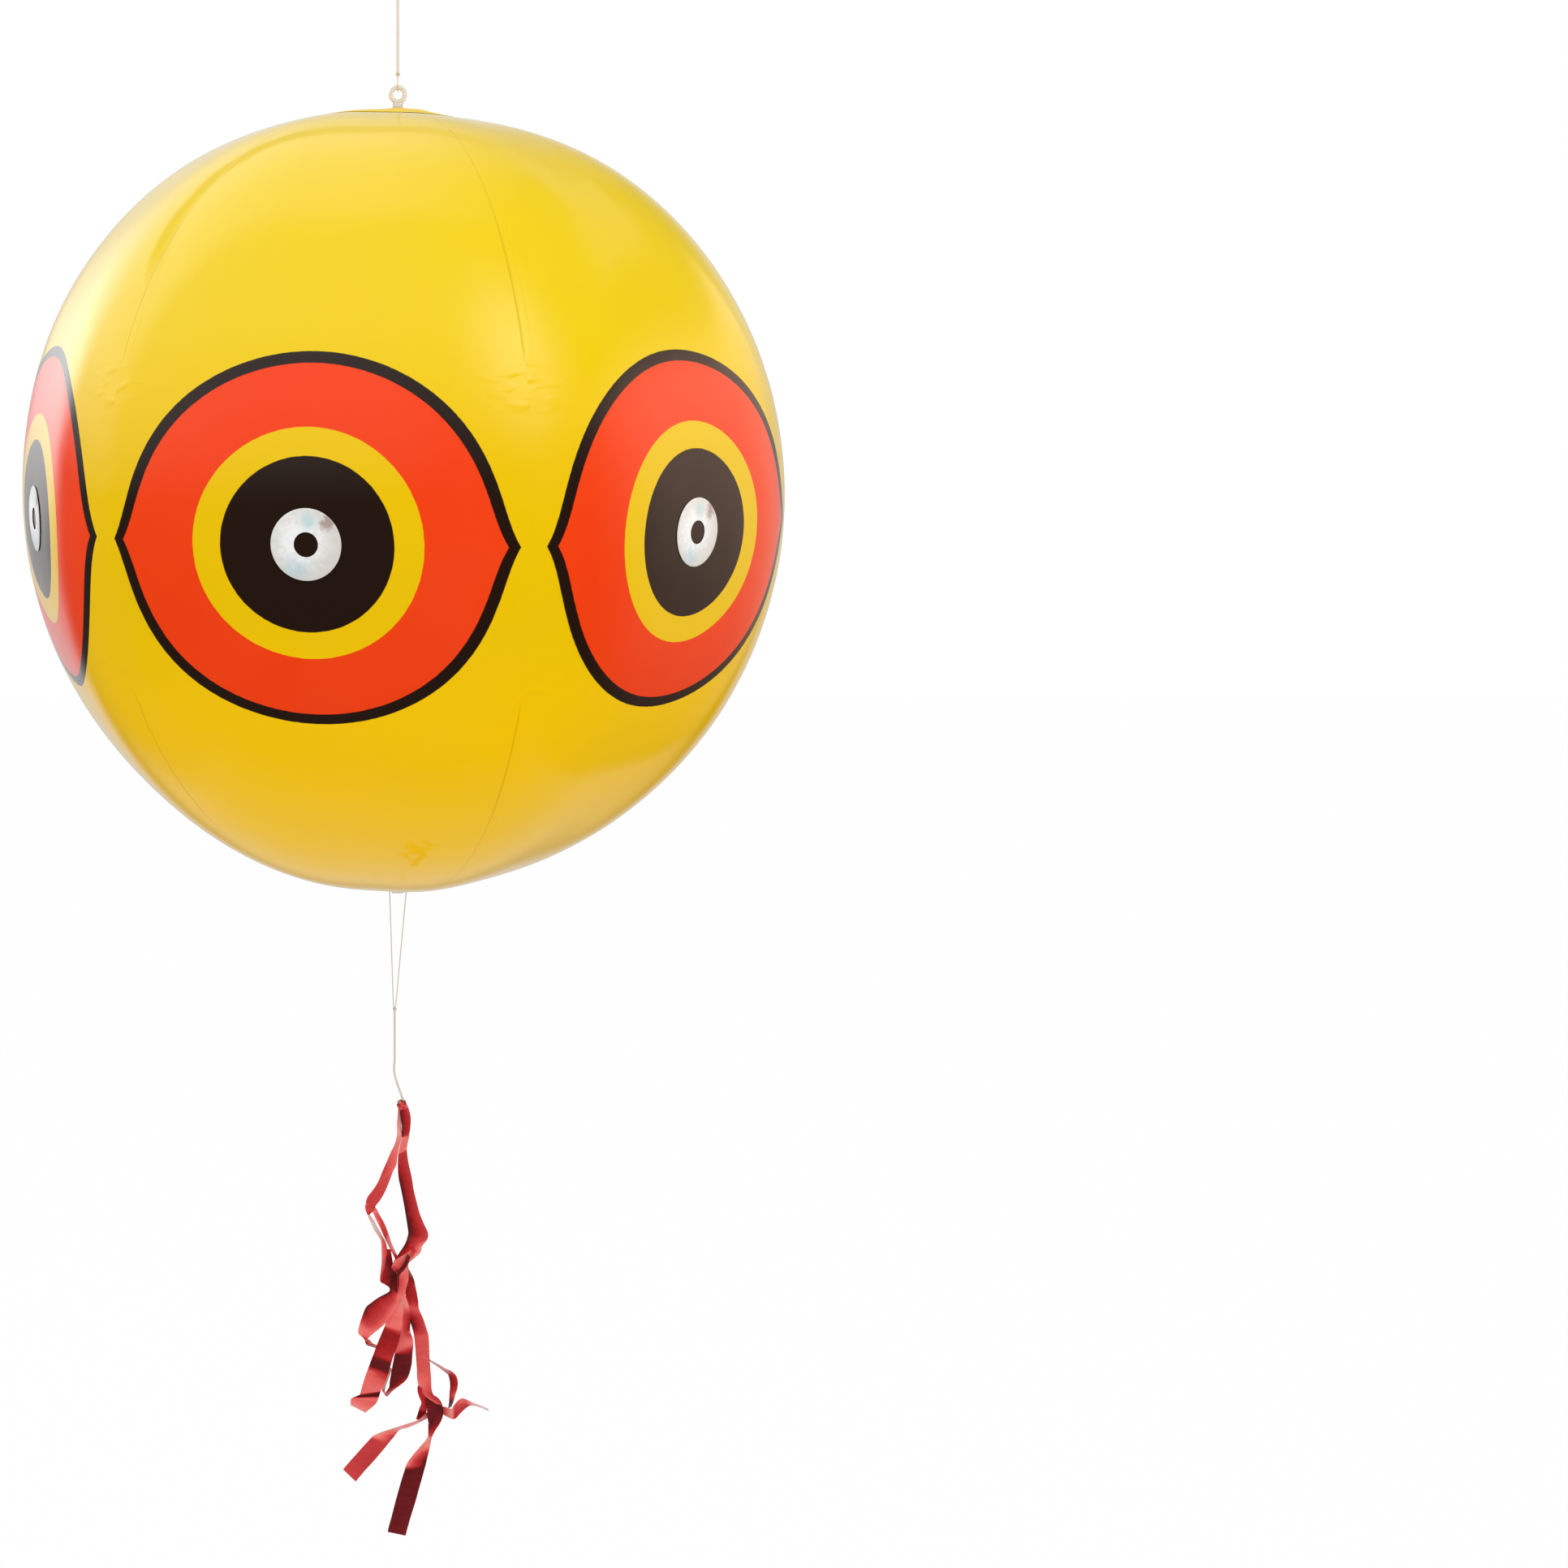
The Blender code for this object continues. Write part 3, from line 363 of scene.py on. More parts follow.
class BALLOON_OT_stage(bpy.types.Operator):
    """Sets the photograph's camera, the soft lamps, the pale room and the floor"""
    bl_idname = "balloon.stage"
    bl_label = "Studio"

    def execute(self, context):
        sizes = context.scene.balloon_stage
        context.scene.view_settings.view_transform = "Standard"
        camera = bpy.data.objects.new("camera", bpy.data.cameras.new("camera"))
        camera.data.sensor_width = 36
        camera.data.lens = CAMERA_LENS
        camera.data.shift_x = CAMERA_SHIFT
        camera.location = CAMERA_SPOT
        camera.rotation_euler = (math.radians(90 - CAMERA_DIP), 0, 0)
        context.scene.collection.objects.link(camera)
        context.scene.camera = camera
        for name, way, distance, size, power, colour in (
                ("overhead_lamp", KEY_WAY, 2.4, 1.3, sizes.key, "#FFFDF8"),
                ("left_lamp", LEFT_WAY, 2.6, 1.6, sizes.key * 1.2, "#FFFFFF")):
            lamp = bpy.data.lights.new(name, "AREA")
            lamp.shape = "DISK"
            lamp.size = size
            lamp.energy = power
            lamp.color = linear(colour)[:3]
            holder = bpy.data.objects.new(name, lamp)
            way = Vector(way).normalized()
            holder.location = Vector((0, 0, BALL_Z)) + way * distance
            holder.visible_glossy = False
            holder.rotation_euler = way.to_track_quat("Z", "Y").to_euler()
            context.scene.collection.objects.link(holder)
        self.make_room(context, sizes)
        self.make_floor(sizes)
        return {"FINISHED"}

    def make_room(self, context, sizes):
        """White behind the ball; in gloss the room's front is dark at eye level and bright overhead.

        The masks say where in the room a light is: a pale backdrop, whiter on the left, a roof with a dimmer gap
        in it, a low light under the front, a warm one low on the right, and the glow of the overhead lamp.
        """
        world = bpy.data.worlds.new("pale_room")
        world.use_nodes = True
        context.scene.world = world
        tree = world.node_tree
        tree.nodes.clear()
        way = add(tree, "ShaderNodeTexCoord").outputs["Generated"]
        parts = add(tree, "ShaderNodeSeparateXYZ", {0: way}).outputs
        aim = add(tree, "ShaderNodeVectorMath", {0: way, 1: GLOW_WAY}, operation="DOT_PRODUCT").outputs["Value"]
        known = work_out(tree, {"x": parts["X"], "y": parts["Y"], "z": parts["Z"], "aim": aim}, f"""
            tilted = x * -0.08 + z, level = tilted * 0.5 + 0.5, leaned = z * 0.3 + y
            short = aim - 1, power = short * 19, glow = exponent power, glow = glow * {sizes.glow}""")
        ramp = add(tree, "ShaderNodeValToRGB", {0: known["level"]})
        set_stops(ramp, [(spot, (light, light, light, 1)) for spot, light in ROOM_LIGHT])
        known.update(ramp=ramp.outputs[0], warm_light=WARM_LIGHT, gap_light=GAP_LIGHT)
        work_out(tree, known, """
            behind = smooth leaned 0.62 0.8, below_top = smooth z 0.5 0.02, backdrop = behind * below_top
            rise = smooth z 0 0.25, far_light = rise * 0.35 + 0.62
            back = smooth y 0.2 0.5, above_top = smooth z 0.55 0.6, below_roof = smooth z 0.7 0.64
            gap = back * above_top, gap = gap * below_roof
            front = smooth y 0.1 -0.12, dimmed = front * -0.45 + 1, aside = x * -2 + 1.15, aside = maximum aside 0.3
            ramp = ramp * aside, ramp = ramp * dimmed
            under = smooth y -0.4 -0.1, deep = smooth z -0.4 -0.7, beside = smooth x 0.62 0.53
            lee = smooth x -0.66 -0.45, under = under * deep, under = under * beside, under = under * lee
            low_light = y * 0.55 + 0.2, ramp = under * low_light + ramp, ramp = ramp + glow
            right = smooth x 0.53 0.62, aft = smooth leaned -0.42 0.25, low_roof = smooth z 0.5 0.28
            right = right * aft, right = right * low_roof
            warm = z * 2 + 1.33, warm = maximum warm 0.15, warm = scaled warm_light warm
            shade = blend gap ramp gap_light, shade = blend right shade warm
            shade = blend backdrop shade far_light
            leftward = smooth x -0.25 -0.6, lit_side = smooth z -0.15 0.1
            left_white = leftward * backdrop, left_white = left_white * lit_side
            strength = left_white * 2.2 + 1""")
        rays = add(tree, "ShaderNodeLightPath").outputs
        room = add(tree, "ShaderNodeBackground", {"Color": linear("#FBFAF8"), "Strength": sizes.fill})
        gloss = add(tree, "ShaderNodeBackground", {"Color": known["shade"], "Strength": known["strength"]})
        white = add(tree, "ShaderNodeBackground", {"Color": WHITE, "Strength": 1.0})
        known.update(seen=rays["Is Camera Ray"], passed=rays["Is Transmission Ray"])
        work_out(tree, known, "bright = maximum seen passed")
        mixed = add(tree, "ShaderNodeMixShader", {0: rays["Is Glossy Ray"], 1: room.outputs[0], 2: gloss.outputs[0]})
        last = add(tree, "ShaderNodeMixShader", {0: known["bright"], 1: mixed.outputs[0], 2: white.outputs[0]})
        add(tree, "ShaderNodeOutputWorld", {"Surface": last.outputs[0]})

    def make_floor(self, sizes):
        """A plain pale floor that keeps the shadow and is near white to the camera."""
        material, tree, shader = new_material("Matt white studio floor", Roughness=0.8)
        known = {"place": add(tree, "ShaderNodeTexCoord").outputs["Object"],
                 "seen": add(tree, "ShaderNodeLightPath").outputs["Is Camera Ray"]}
        work_out(tree, known, "speckle = noise place 3 4, tint = blend speckle #DCDBD9 #E0DFDD, share = seen * 0.975")
        dress(tree, shader, known, Base_Color="tint")
        glow = add(tree, "ShaderNodeEmission", {"Color": WHITE, "Strength": 1.0})
        mixed = add(tree, "ShaderNodeMixShader", {0: known["share"], 1: shader.outputs[0], 2: glow.outputs[0]})
        tree.links.new(mixed.outputs[0], tree.nodes["Material Output"].inputs["Surface"])
        corners = [(x, y, -sizes.floor_drop) for x, y in (
            (FLOOR_LEFT, FLOOR_FRONT), (FLOOR_RIGHT, FLOOR_FRONT), (FLOOR_RIGHT, FLOOR_BACK), (FLOOR_LEFT, FLOOR_BACK))]
        floor = new_piece("floor", mesh_from("floor", corners, [(0, 1, 2, 3)], close=False), material)
        floor.visible_glossy = False


# Strings


def string_material():
    """Undyed cotton string: pale fibres along each strand, a little dust in the grooves, soft fuzz."""
    material, tree, shader = new_material("Bleached cotton string", Roughness=0.85, Sheen_Weight=0.35,
                                          Sheen_Roughness=0.5)
    known = work_out(tree, {"place": add(tree, "ShaderNodeTexCoord").outputs["Object"]}, f"""
        fibres = noise place 5200 3, stain = noise place 130 2, pale = blend fibres #D8CEC4 #ECE5DD
        aged = blend stain #FFFFFF #F3ECE4, fuzz = bump fibres 0.6 {0.08 * MM}""")
    both = add(tree, "ShaderNodeMix", {"Factor": 1.0, "A": known["pale"], "B": known["aged"]},
               data_type="RGBA", blend_type="MULTIPLY")
    known["colour"] = both.outputs[2]
    dress(tree, shader, known, Base_Color="colour", Normal="fuzz")
    return material


# A string's strands: how many, how far out and how thick each is as a share of the string, and a step along it
STRANDS, STRAND_REACH, STRAND_THICKNESS, STRAND_STEP = 3, 0.268, 0.238, 0.25 * MM
# How far a string runs on into a knot, and the steps between the points of a drawn route and of a declared path
KNOT_LEAD, ROUTE_STEP, PATH_STEP = 2.4 * MM, 0.5 * MM, 2 * MM


def laid_string_tree():
    """Geometry Nodes: a line of points becomes strands laid round one another."""
    tree, given, end = node_group("Laid string", [
        ("Line", "Geometry"), ("Reach", "Float"), ("Thickness", "Float"), ("Turns", "Float"), ("Strands", "Int"),
        ("Step", "Float"), ("Finish", "Material")])
    line = add(tree, "GeometryNodeMeshToCurve", {"Mesh": given["Line"]})
    fine = add(tree, "GeometryNodeResampleCurve", {"Curve": line.outputs[0], "Length": given["Step"]}, mode="LENGTH")
    strands = add(tree, "GeometryNodeDuplicateElements", {"Geometry": fine.outputs[0], "Amount": given["Strands"]},
                  domain="SPLINE")
    known = {"copy": strands.outputs["Duplicate Index"], "strands": given["Strands"], "turns": given["Turns"],
             "reach": given["Reach"], "along": add(tree, "GeometryNodeSplineParameter").outputs["Factor"],
             "side": add(tree, "GeometryNodeInputNormal").outputs[0],
             "tangent": add(tree, "GeometryNodeInputTangent").outputs[0]}
    work_out(tree, known, f"""
        lead = copy / strands, lay = along * turns + lead, angle = lay * {math.tau}, cos = cosine angle
        sin = sine angle, other = crossed tangent side, first = scaled side cos, second = scaled other sin
        both = moved first second, shift = scaled both reach""")
    wound = add(tree, "GeometryNodeSetPosition", {"Geometry": strands.outputs["Geometry"], "Offset": known["shift"]})
    ring = add(tree, "GeometryNodeCurvePrimitiveCircle", {"Resolution": 8, "Radius": given["Thickness"]})
    tubes = add(tree, "GeometryNodeCurveToMesh", {"Curve": wound.outputs[0], "Profile Curve": ring.outputs["Curve"],
                                                  "Fill Caps": True})
    return end_group(tree, tubes, given["Finish"], end)


def laid_string(name, lines, tree, material, closed=False):
    """Laid strings, one along each of the given lines of points."""
    sizes = bpy.context.scene.balloon_tail
    points, edges = [], []
    for line in lines:
        first = len(points)
        points += line
        edges += [(at, at + 1) for at in range(first, len(points) - 1)] + [(len(points) - 1, first)] * closed
    length = sum((points[b] - points[a]).length for a, b in edges) / len(lines)
    source = bpy.data.meshes.new(name)
    source.from_pydata([tuple(p) for p in points], edges, [])
    mesh = grown_mesh(name, source, tree, {
        "Reach": sizes.string * STRAND_REACH, "Thickness": sizes.string * STRAND_THICKNESS, "Strands": STRANDS,
        "Turns": float(max(1, round(length / sizes.lay))), "Step": STRAND_STEP, "Finish": material})
    return new_piece(name, mesh, material)


def side_by_side(points, apart):
    """Two lines beside the given one, led on into the knots at its ends."""
    lead = [points[0] + (points[0] - points[1]).normalized() * KNOT_LEAD]
    follow = [points[-1] + (points[-1] - points[-2]).normalized() * KNOT_LEAD]
    return [[point + Vector((side * apart / 2, 0, 0)) for point in lead + points + follow] for side in (-1, 1)]


def through(points, step):
    """Points on a smooth curve through the given ones."""
    return [Vector(row) for row in smooth_rows(points, step)]


def knot_points(middle, turn):
    """The middle line of a pulled-up overhand knot."""
    size, swing = 0.64 * MM, 0.35 * MM
    points = []
    for step in range(64):
        t = math.tau * step / 64
        reach = size + swing * math.cos(3 * t)
        points.append(middle + Vector((reach * math.cos(2 * t + turn), -swing * math.sin(3 * t),
                                       reach * math.sin(2 * t + turn))))
    return points


UPPER_KNOT = Vector((0, 0, -19.58)) * MM
EYE_KNOT = Vector((0, 0, -61.76)) * MM
TAIL_KNOT = Vector((-1.8, 0, -565.939)) * MM
HANG_ROUTE = [Vector((0, 0, -22.76)) * MM, Vector((0, 0, -58.58)) * MM]
TAIL_ROUTE = [Vector((-1.8, 0, -569.119)) * MM, Vector((-1.8, 0, -593.529)) * MM,
              Vector((-1.8, 0, -604.514)) * MM, TIE]
TAIL_LOOP = [Vector((x, 0, z)) * MM for x, z in (
    (-2.544, -562.759), (-2.87, -552.228), (-3.196, -541.698), (-3.522, -531.167), (-3.786, -522.581),
    (-4.064, -513.537), (-4.315, -505.409), (-4.448, -501.18), (-4.5, -499.574), (-4.635, -497.325),
    (-4.41, -496.225), (-2.7, -495.824), (0, -495.825), (2.7, -495.825), (4.41, -496.225), (4.635, -497.324),
    (4.5, -499.574), (4.361, -501.18), (3.991, -505.409), (3.276, -513.537), (2.478, -522.581),
    (1.722, -531.167), (0.796, -541.698), (-0.13, -552.228), (-1.056, -562.759))]
HANG_SIDE = ((0.5, -18.8), (0.509, -15.984), (1.09, -14.777), (1.762, -12.896), (2.459, -10.527), (3.037, -7.9),
             (3.319, -5.273), (3.153, -2.904), (2.481, -1.023), (1.368, 0.184))
HANG_LOOP = [Vector((x, 0, z)) * MM for x, z in (*((-x, z) for x, z in HANG_SIDE), (0, 0.6), *HANG_SIDE[::-1])]


class BALLOON_OT_strings(bpy.types.Operator):
    """Lays the hanging string, the tail's loop and cord, and their knots"""
    bl_idname = "balloon.strings"
    bl_label = "Strings"

    def execute(self, context):
        cotton = string_material()
        tree = laid_string_tree()
        bend, middle, rise = 2.125 * MM, -68.375 * MM, 3.4 * MM
        eye_loop = []
        for step in range(40):
            t = math.tau * step / 40
            up = max(0, math.sin(t))
            eye_loop.append(Vector((0, bend * math.cos(t) * (1 - 0.5 * up),
                                    middle + bend * math.sin(t) + rise * up * up)))
        tail_loop = [Vector((-2.1 * MM, 0, -565 * MM)), *TAIL_LOOP, Vector((-1.5 * MM, 0, -565 * MM))]
        routes = [("hang_loop_string", "hang_loop", "hang_line", [through(HANG_LOOP, ROUTE_STEP)], False),
                  ("hang_knot_string", "hang_loop_knot", "hang_line", [knot_points(UPPER_KNOT, 0)], True),
                  ("hang_cord_string", "hang_cord", "hang_line",
                   side_by_side(through(HANG_ROUTE, ROUTE_STEP), 0.8 * MM), False),
                  ("eye_loop_string", "eye_loop", "eye_line", [eye_loop], True),
                  ("eye_knot_string", "eye_knot", "eye_line", [knot_points(EYE_KNOT, math.pi / 2)], True),
                  ("tail_loop_string", "tail_loop", "tail", [through(tail_loop, ROUTE_STEP)], False),
                  ("tail_knot_string", "tail_knot", "tail", [knot_points(TAIL_KNOT, 0)], True),
                  ("tail_cord_string", "tail_cord", "tail",
                   side_by_side(through(TAIL_ROUTE, ROUTE_STEP), 0.7 * MM), False)]
        made = {}
        for name, node, body, lines, closed in routes:
            made[node] = laid_string(name, lines, tree, cotton, closed)
            settle(made[node], body, "white_string", node)
        facts = [("hang_cord", HANG_ROUTE, "taut", 2, ("hang_loop", "hang_loop_knot")),
                 ("tail_loop", TAIL_LOOP, "taut", 1, ("tail_knot",)),
                 ("tail_cord", TAIL_ROUTE, "hanging", 2, ())]
        for node, path, lay, strings, others in facts:
            points = through(path, PATH_STEP)
            length = sum((after - before).length for before, after in zip(points, points[1:]))
            tuple(path[0])
            [tuple(p) for p in points]
            [made[other] for other in others]
        return {"FINISHED"}


# Ball


def film_material(name, marks=None, roughness=0.055):
    """Glossy yellow vinyl film: painted shade turns it deeper golden low down and in a band round the middle, with weld
    lines, lap steps and small gathers beside the welds.

    All of it is drawn from lengths in mm on the film; the printed eye is there where marks are given.
    """
    half_height, half_gore = 207, 104.72   # of the ball, and of a gore's width at the equator
    material, tree, shader = new_material(name, IOR=1.43, Coat_Weight=0.05, Coat_Roughness=0.05)
    place = add(tree, "ShaderNodeAttribute", attribute_name="film_mm").outputs["Vector"]
    parts = add(tree, "ShaderNodeSeparateXYZ", {0: place}).outputs
    # Painted shade: the yellow turns deeper golden towards the bottom and in a band round the middle.
    known = work_out(tree, {"place": place, "u": parts["X"], "v": parts["Y"], "number": parts["Z"]}, f"""
        tilt = v / {half_height}, tilt = cosine tilt, half = tilt * {half_gore}, left = half + u, right = half - u
        beside = minimum left right, high = absolute v, stretch_u = u * 0.5, stretch_v = v * 1.1
        off = high - 70, off = off / 12, off2 = off * off, near = beside / 17, near2 = near * near + off2
        near2 = near2 * -1, gathered = exponent near2, folds = point stretch_u stretch_v number
        fold = noise folds 0.14 1, fold = smooth fold 0.46 0.8, fold = fold * gathered
        shown = smooth high 76 90, faded = smooth high 140 175 1 0.3, shown = shown * faded
        weld = smooth beside 0.2 0.6 1 0, weld = weld * shown, deeper = weld * 0.36
        lap = smooth left 3.6 4.4 1 0, lap = lap * shown, step = lap * 0.12, step = weld * -0.25 + step
        step = step + fold, cloud = noise place 0.012 2, cloud_part = cloud - 0.5
        low = smooth v 150 -150, low = cloud_part * 0.5 + low, belt = smooth high 100 20 0 0.85
        colour = blend low #E9C903 #FAC704, colour = blend belt colour #E9BF03
        colour = blend deeper colour #D2A400
        gloss = noise place 0.02 3, dull = spread gloss 0.35 0.7 {roughness} {roughness + 0.06}""")
    if marks:
        print_eye(tree, known, marks)
    work_out(tree, known, f"""
        grain = noise place 0.6 4, broad = noise place 0.022 2, normal = bump grain 0.3 {0.012 * MM}
        normal = bump broad 0.4 {0.9 * MM} normal, normal = bump step 0.7 {0.6 * MM} normal""")
    dress(tree, shader, known, Base_Color="colour", Roughness="dull", Normal="normal", Coat_Normal="normal")
    return material


def print_eye(tree, known, marks):
    """The eye's four inks over the film: pointed outline, red, bare ring and pupil; ink is a little duller."""
    known["bare"] = known["colour"]
    # The dark ink, how far the edges wander and blur in mm, and how far the rings are from round
    black, wander, blur, wide, high = "#24150D", 0.35, 0.22, 0.986, 1.012
    work_out(tree, known, f"""
        wobble = noise place 0.35 2, up = v - {marks.middle}, aside = absolute u, height = absolute up
        u2 = u * u, r2 = up * up + u2, r2 = r2 + 0.000001, plain_r = sqrt r2, ink_edge = wobble - 0.5
        r = ink_edge * {wander} + plain_r, flat = u2 / r2, angle = arctan2 height aside
        tip_power = angle * {-math.degrees(1) / marks.tip_angle}, tip = exponent tip_power
        swollen = flat * {marks.outline_swell} + {marks.outline_radius}, edge = tip * {marks.tip_reach} + swollen
        outline = edge - r, red = outline - {marks.outline_band}
        round_u = u * {wide}, round_v = up * {high}, round_u = round_u * round_u
        round_r = round_v * round_v + round_u, round_r = sqrt round_r, round_r = ink_edge * {wander} + round_r
        ring = {marks.ring_radius} - round_r, pupil = {marks.pupil_radius} - round_r
        outline = smooth outline {-blur} {blur}, colour = blend outline colour {black}
        scarlet = blend cloud #EF3B0A #F2430E, red = smooth red {-blur} {blur}, colour = blend red colour scarlet
        ring = smooth ring {-blur} {blur}, colour = blend ring colour bare
        pupil = smooth pupil {-blur} {blur}, colour = blend pupil colour {black}
        ink = outline - ring, ink = ink + pupil, dull = ink * 0.05 + dull""")


GORE_SIZES = ("Radius", "Half height", "Seam swell", "Top press", "Bottom press", "Film", "Lap", "Pole opening",
              "Pucker", "Fullness", "Sway")


def short_name(label):
    """A label as a name in the code."""
    return label.lower().replace(" ", "_")


def gore_tree():
    """Geometry Nodes: one gore as a grid laid on the ball, gathered along its seams, with a lap at its right."""
    numbers = (*GORE_SIZES, "Number", "Seed")
    tree, given, end = node_group("Film gore", [
        ("Geometry", "Geometry"), ("Columns", "Int"), ("Rows", "Int"), ("Finish", "Material"),
        *[(label, "Float") for label in numbers]])
    known = {short_name(label): given[label] for label in (*numbers, "Columns")}
    work_out(tree, known, "all_columns = columns + 3")
    grid = add(tree, "GeometryNodeMeshGrid", {"Size X": 1.0, "Size Y": 1.0, "Vertices X": known["all_columns"],
                                              "Vertices Y": given["Rows"]})
    at = add(tree, "ShaderNodeSeparateXYZ", {0: add(tree, "GeometryNodeInputPosition").outputs[0]}).outputs
    known.update(x=at["X"], y=at["Y"])
    step = math.tau / GORES
    # How far from the equator the seams begin to stand open and over what height; where the gathers are deepest,
    # their spread in height and their reach beside the seam
    open_from, open_over, gathers_at, gathers_high, gathers_wide = 76 * MM, 16 * MM, 66 * MM, 34 * MM, 11 * MM
    # Where each point is across its gore, on the lap or not, and how far the seam stands open at the poles
    work_out(tree, known, f"""
        across = x + 0.5, last = columns + 2, column = across * last, main = columns - 1
        share = column / main, share = minimum share 1, past = column - main, is_lap = greater_than past 0.5
        run = past - 1, run = maximum run 0, half_lap = lap * 0.5, extra = run * half_lap
        extra = is_lap * {TOUCH} + extra, opening = pole_opening / radius, limit = arccosine opening
        both_ways = y * 2, tilt = both_ways * limit, cos = cosine tilt, sin = sine tilt, around = radius * cos
        seam = number * {step} + {FIRST_SEAM}, along = half_height * tilt, open = absolute along
        open = open - {open_from}, open = open / {open_over}, open = maximum open 0, open = minimum open 1
        open = open * {TOUCH / 10} + {TOUCH / 60}, gap = open / around, twice_gap = gap * 2
        span = {step} - twice_gap, turn = seam + gap, turn = share * span + turn, beyond = extra / around
        turn = turn + beyond, from_seam = turn - {FIRST_SEAM}, sixth = from_seam * {GORES}
        ripple = cosine sixth, swell = ripple * seam_swell + 1, reach = around * swell""")
    # The point on the pressed ball and the way out from it
    work_out(tree, known, f"""
        is_top = greater_than tilt 0, difference = top_press - bottom_press
        press = is_top * difference + bottom_press, upright = absolute sin, pole = power upright {POLE_POWER}
        pressed = press * pole, left_over = 1 - pressed, high = half_height * sin, height = high * left_over
        steep = pressed * {POLE_POWER + 1}, slope = 1 - steep, wide = half_height * cos, out_r = wide * slope
        out_z = radius * swell, out_z = out_z * sin, sin_turn = sine turn, cos_turn = cosine turn
        back_turn = cos_turn * -1, px = reach * sin_turn, py = reach * back_turn, pz = height + {BALL_Z}
        nx = out_r * sin_turn, ny = out_r * back_turn, spot = point px py pz, out = point nx ny out_z
        out = unit out, away = tilt * tilt, away = away * {-FULL_RISE}, away = exponent away, away = 1 - away
        dip = power upright {FULL_END}, dip = 1 - dip
        full = sin_turn * {FULL_SIDE} + {FULL_MEAN}, full = full * fullness
        full = full * away, full = full * dip, full = full * is_top""")
    # The gathers along both seams
    work_out(tree, known, f"""
        next_seam = seam + {step}, left_turn = turn - seam, left_run = left_turn * around
        right_turn = next_seam - turn, right_run = right_turn * around
        other = number + 1, other = wrap other {GORES} 0
        height_off = absolute along, height_off = height_off - {gathers_at}
        height_off = height_off / {gathers_high}
        height_off = height_off * height_off, height_off = height_off * -1, gathered = exponent height_off
        gathered = gathered * 0.85 + 0.15""")
    for side, seam in (("left", "number"), ("right", "other")):
        work_out(tree, known, f"""
            lane = {seam} * 7.3 + seed, lane = point lane along, gather = noise lane 60 1.5 0.4
            run2 = {side}_run * {side}_run, far = run2 * {-1 / gathers_wide ** 2}, fade = exponent far
            fade = fade * gathered, gather = gather - 0.42, gather = maximum gather 0
            gather = gather * pucker, gather = gather * -5, {side}_gather = gather * fade""")
    work_out(tree, known, f"""
        drift = noise spot 15 2, drift = drift - 0.5, drift = drift * sway
        lift = left_gather + right_gather, lift = lift + drift, lift = lift + full
        under = film + {TOUCH}, under = under * is_lap, lift = lift - under
        mid_turn = seam + {step / 2}, aside = turn - mid_turn, u = aside * around, u = u * 1000
        v = along * 1000, film_mm = point u v number, shift = scaled out lift, place = moved spot shift""")
    stored = add(tree, "GeometryNodeStoreNamedAttribute", {
        "Geometry": grid.outputs["Mesh"], "Name": "film_mm", "Value": known["film_mm"]},
        data_type="FLOAT_VECTOR", domain="POINT")
    laid = add(tree, "GeometryNodeSetPosition", {"Geometry": stored.outputs[0], "Position": known["place"]})
    return end_group(tree, laid, given["Finish"], end)


def cut_round(mesh, middle, way, radius):
    """Opens a round hole in a sheet: faces inside go, and the edge is drawn onto the circle."""
    work = bmesh.new()
    work.from_mesh(mesh)

    def reach(point):
        away = point - middle
        return (away - way * away.dot(way)).length

    near = 3 * radius
    gone = [face for face in work.faces if (face.calc_center_median() - middle).length < near
            and reach(face.calc_center_median()) < radius]
    bmesh.ops.delete(work, geom=gone, context="FACES")
    for vert in work.verts:
        if (vert.co - middle).length < near and vert.is_boundary:
            away = vert.co - middle
            level = way * away.dot(way)
            vert.co = middle + level + (away - level).normalized() * radius
    work.to_mesh(mesh)
    work.free()


class BALLOON_OT_gores(bpy.types.Operator):
    """Lays the six printed film gores with their laps and gathers"""
    bl_idname = "balloon.gores"
    bl_label = "Gores"

    def execute(self, context):
        sizes = context.scene.balloon_ball
        film = film_material("Printed yellow PVC film", context.scene.balloon_print)
        tree = gore_tree()
        for number in range(GORES):
            values = {label: getattr(sizes, short_name(label)) for label in (*GORE_SIZES, "Columns", "Rows")}
            values.update({"Number": float(number), "Seed": float(sizes.seed), "Finish": film})
            mesh = grown_mesh(f"printed_gore_{number + 1}", bpy.data.meshes.new("empty"), tree, values)
            if mesh.polygons[0].normal.dot(mesh.polygons[0].center - Vector((0, 0, BALL_Z))) < 0:
                mesh.flip_normals()
            if number + 1 == VALVE_GORE:
                cut_round(mesh, VALVE_SPOT, VALVE_OUT.normalized(), VALVE_HOLE * MM)
            piece = new_piece(mesh.name, mesh, film)
            thickened(piece, sizes.film)
            settle(piece, "ball", "yellow_film", f"gore_{number + 1}")
        return {"FINISHED"}


def ball_point(turn, tilt, out=0.0):
    """A point on the ball at an angle from the front and a latitude, moved out along the normal."""
    sizes = bpy.context.scene.balloon_ball
    flat = sizes.top_press if tilt > 0 else sizes.bottom_press
    swell = 1 + sizes.seam_swell * math.cos(GORES * (turn - FIRST_SEAM))
    pole = math.sin(tilt) ** POLE_POWER
    radius = sizes.radius * swell * math.cos(tilt)
    height = sizes.half_height * math.sin(tilt) * (1 - flat * pole)
    normal = Vector((sizes.half_height * math.cos(tilt) * (1 - (POLE_POWER + 1) * flat * pole),
                     sizes.radius * swell * math.sin(tilt))).normalized()
    if tilt > 0:
        out += (sizes.fullness * (FULL_MEAN + FULL_SIDE * math.sin(turn)) * (1 - math.exp(-FULL_RISE * tilt * tilt))
                * (1 - math.sin(tilt) ** FULL_END))
    radius += out * normal.x
    return Vector((radius * math.sin(turn), -radius * math.cos(turn), BALL_Z + height + out * normal.y))


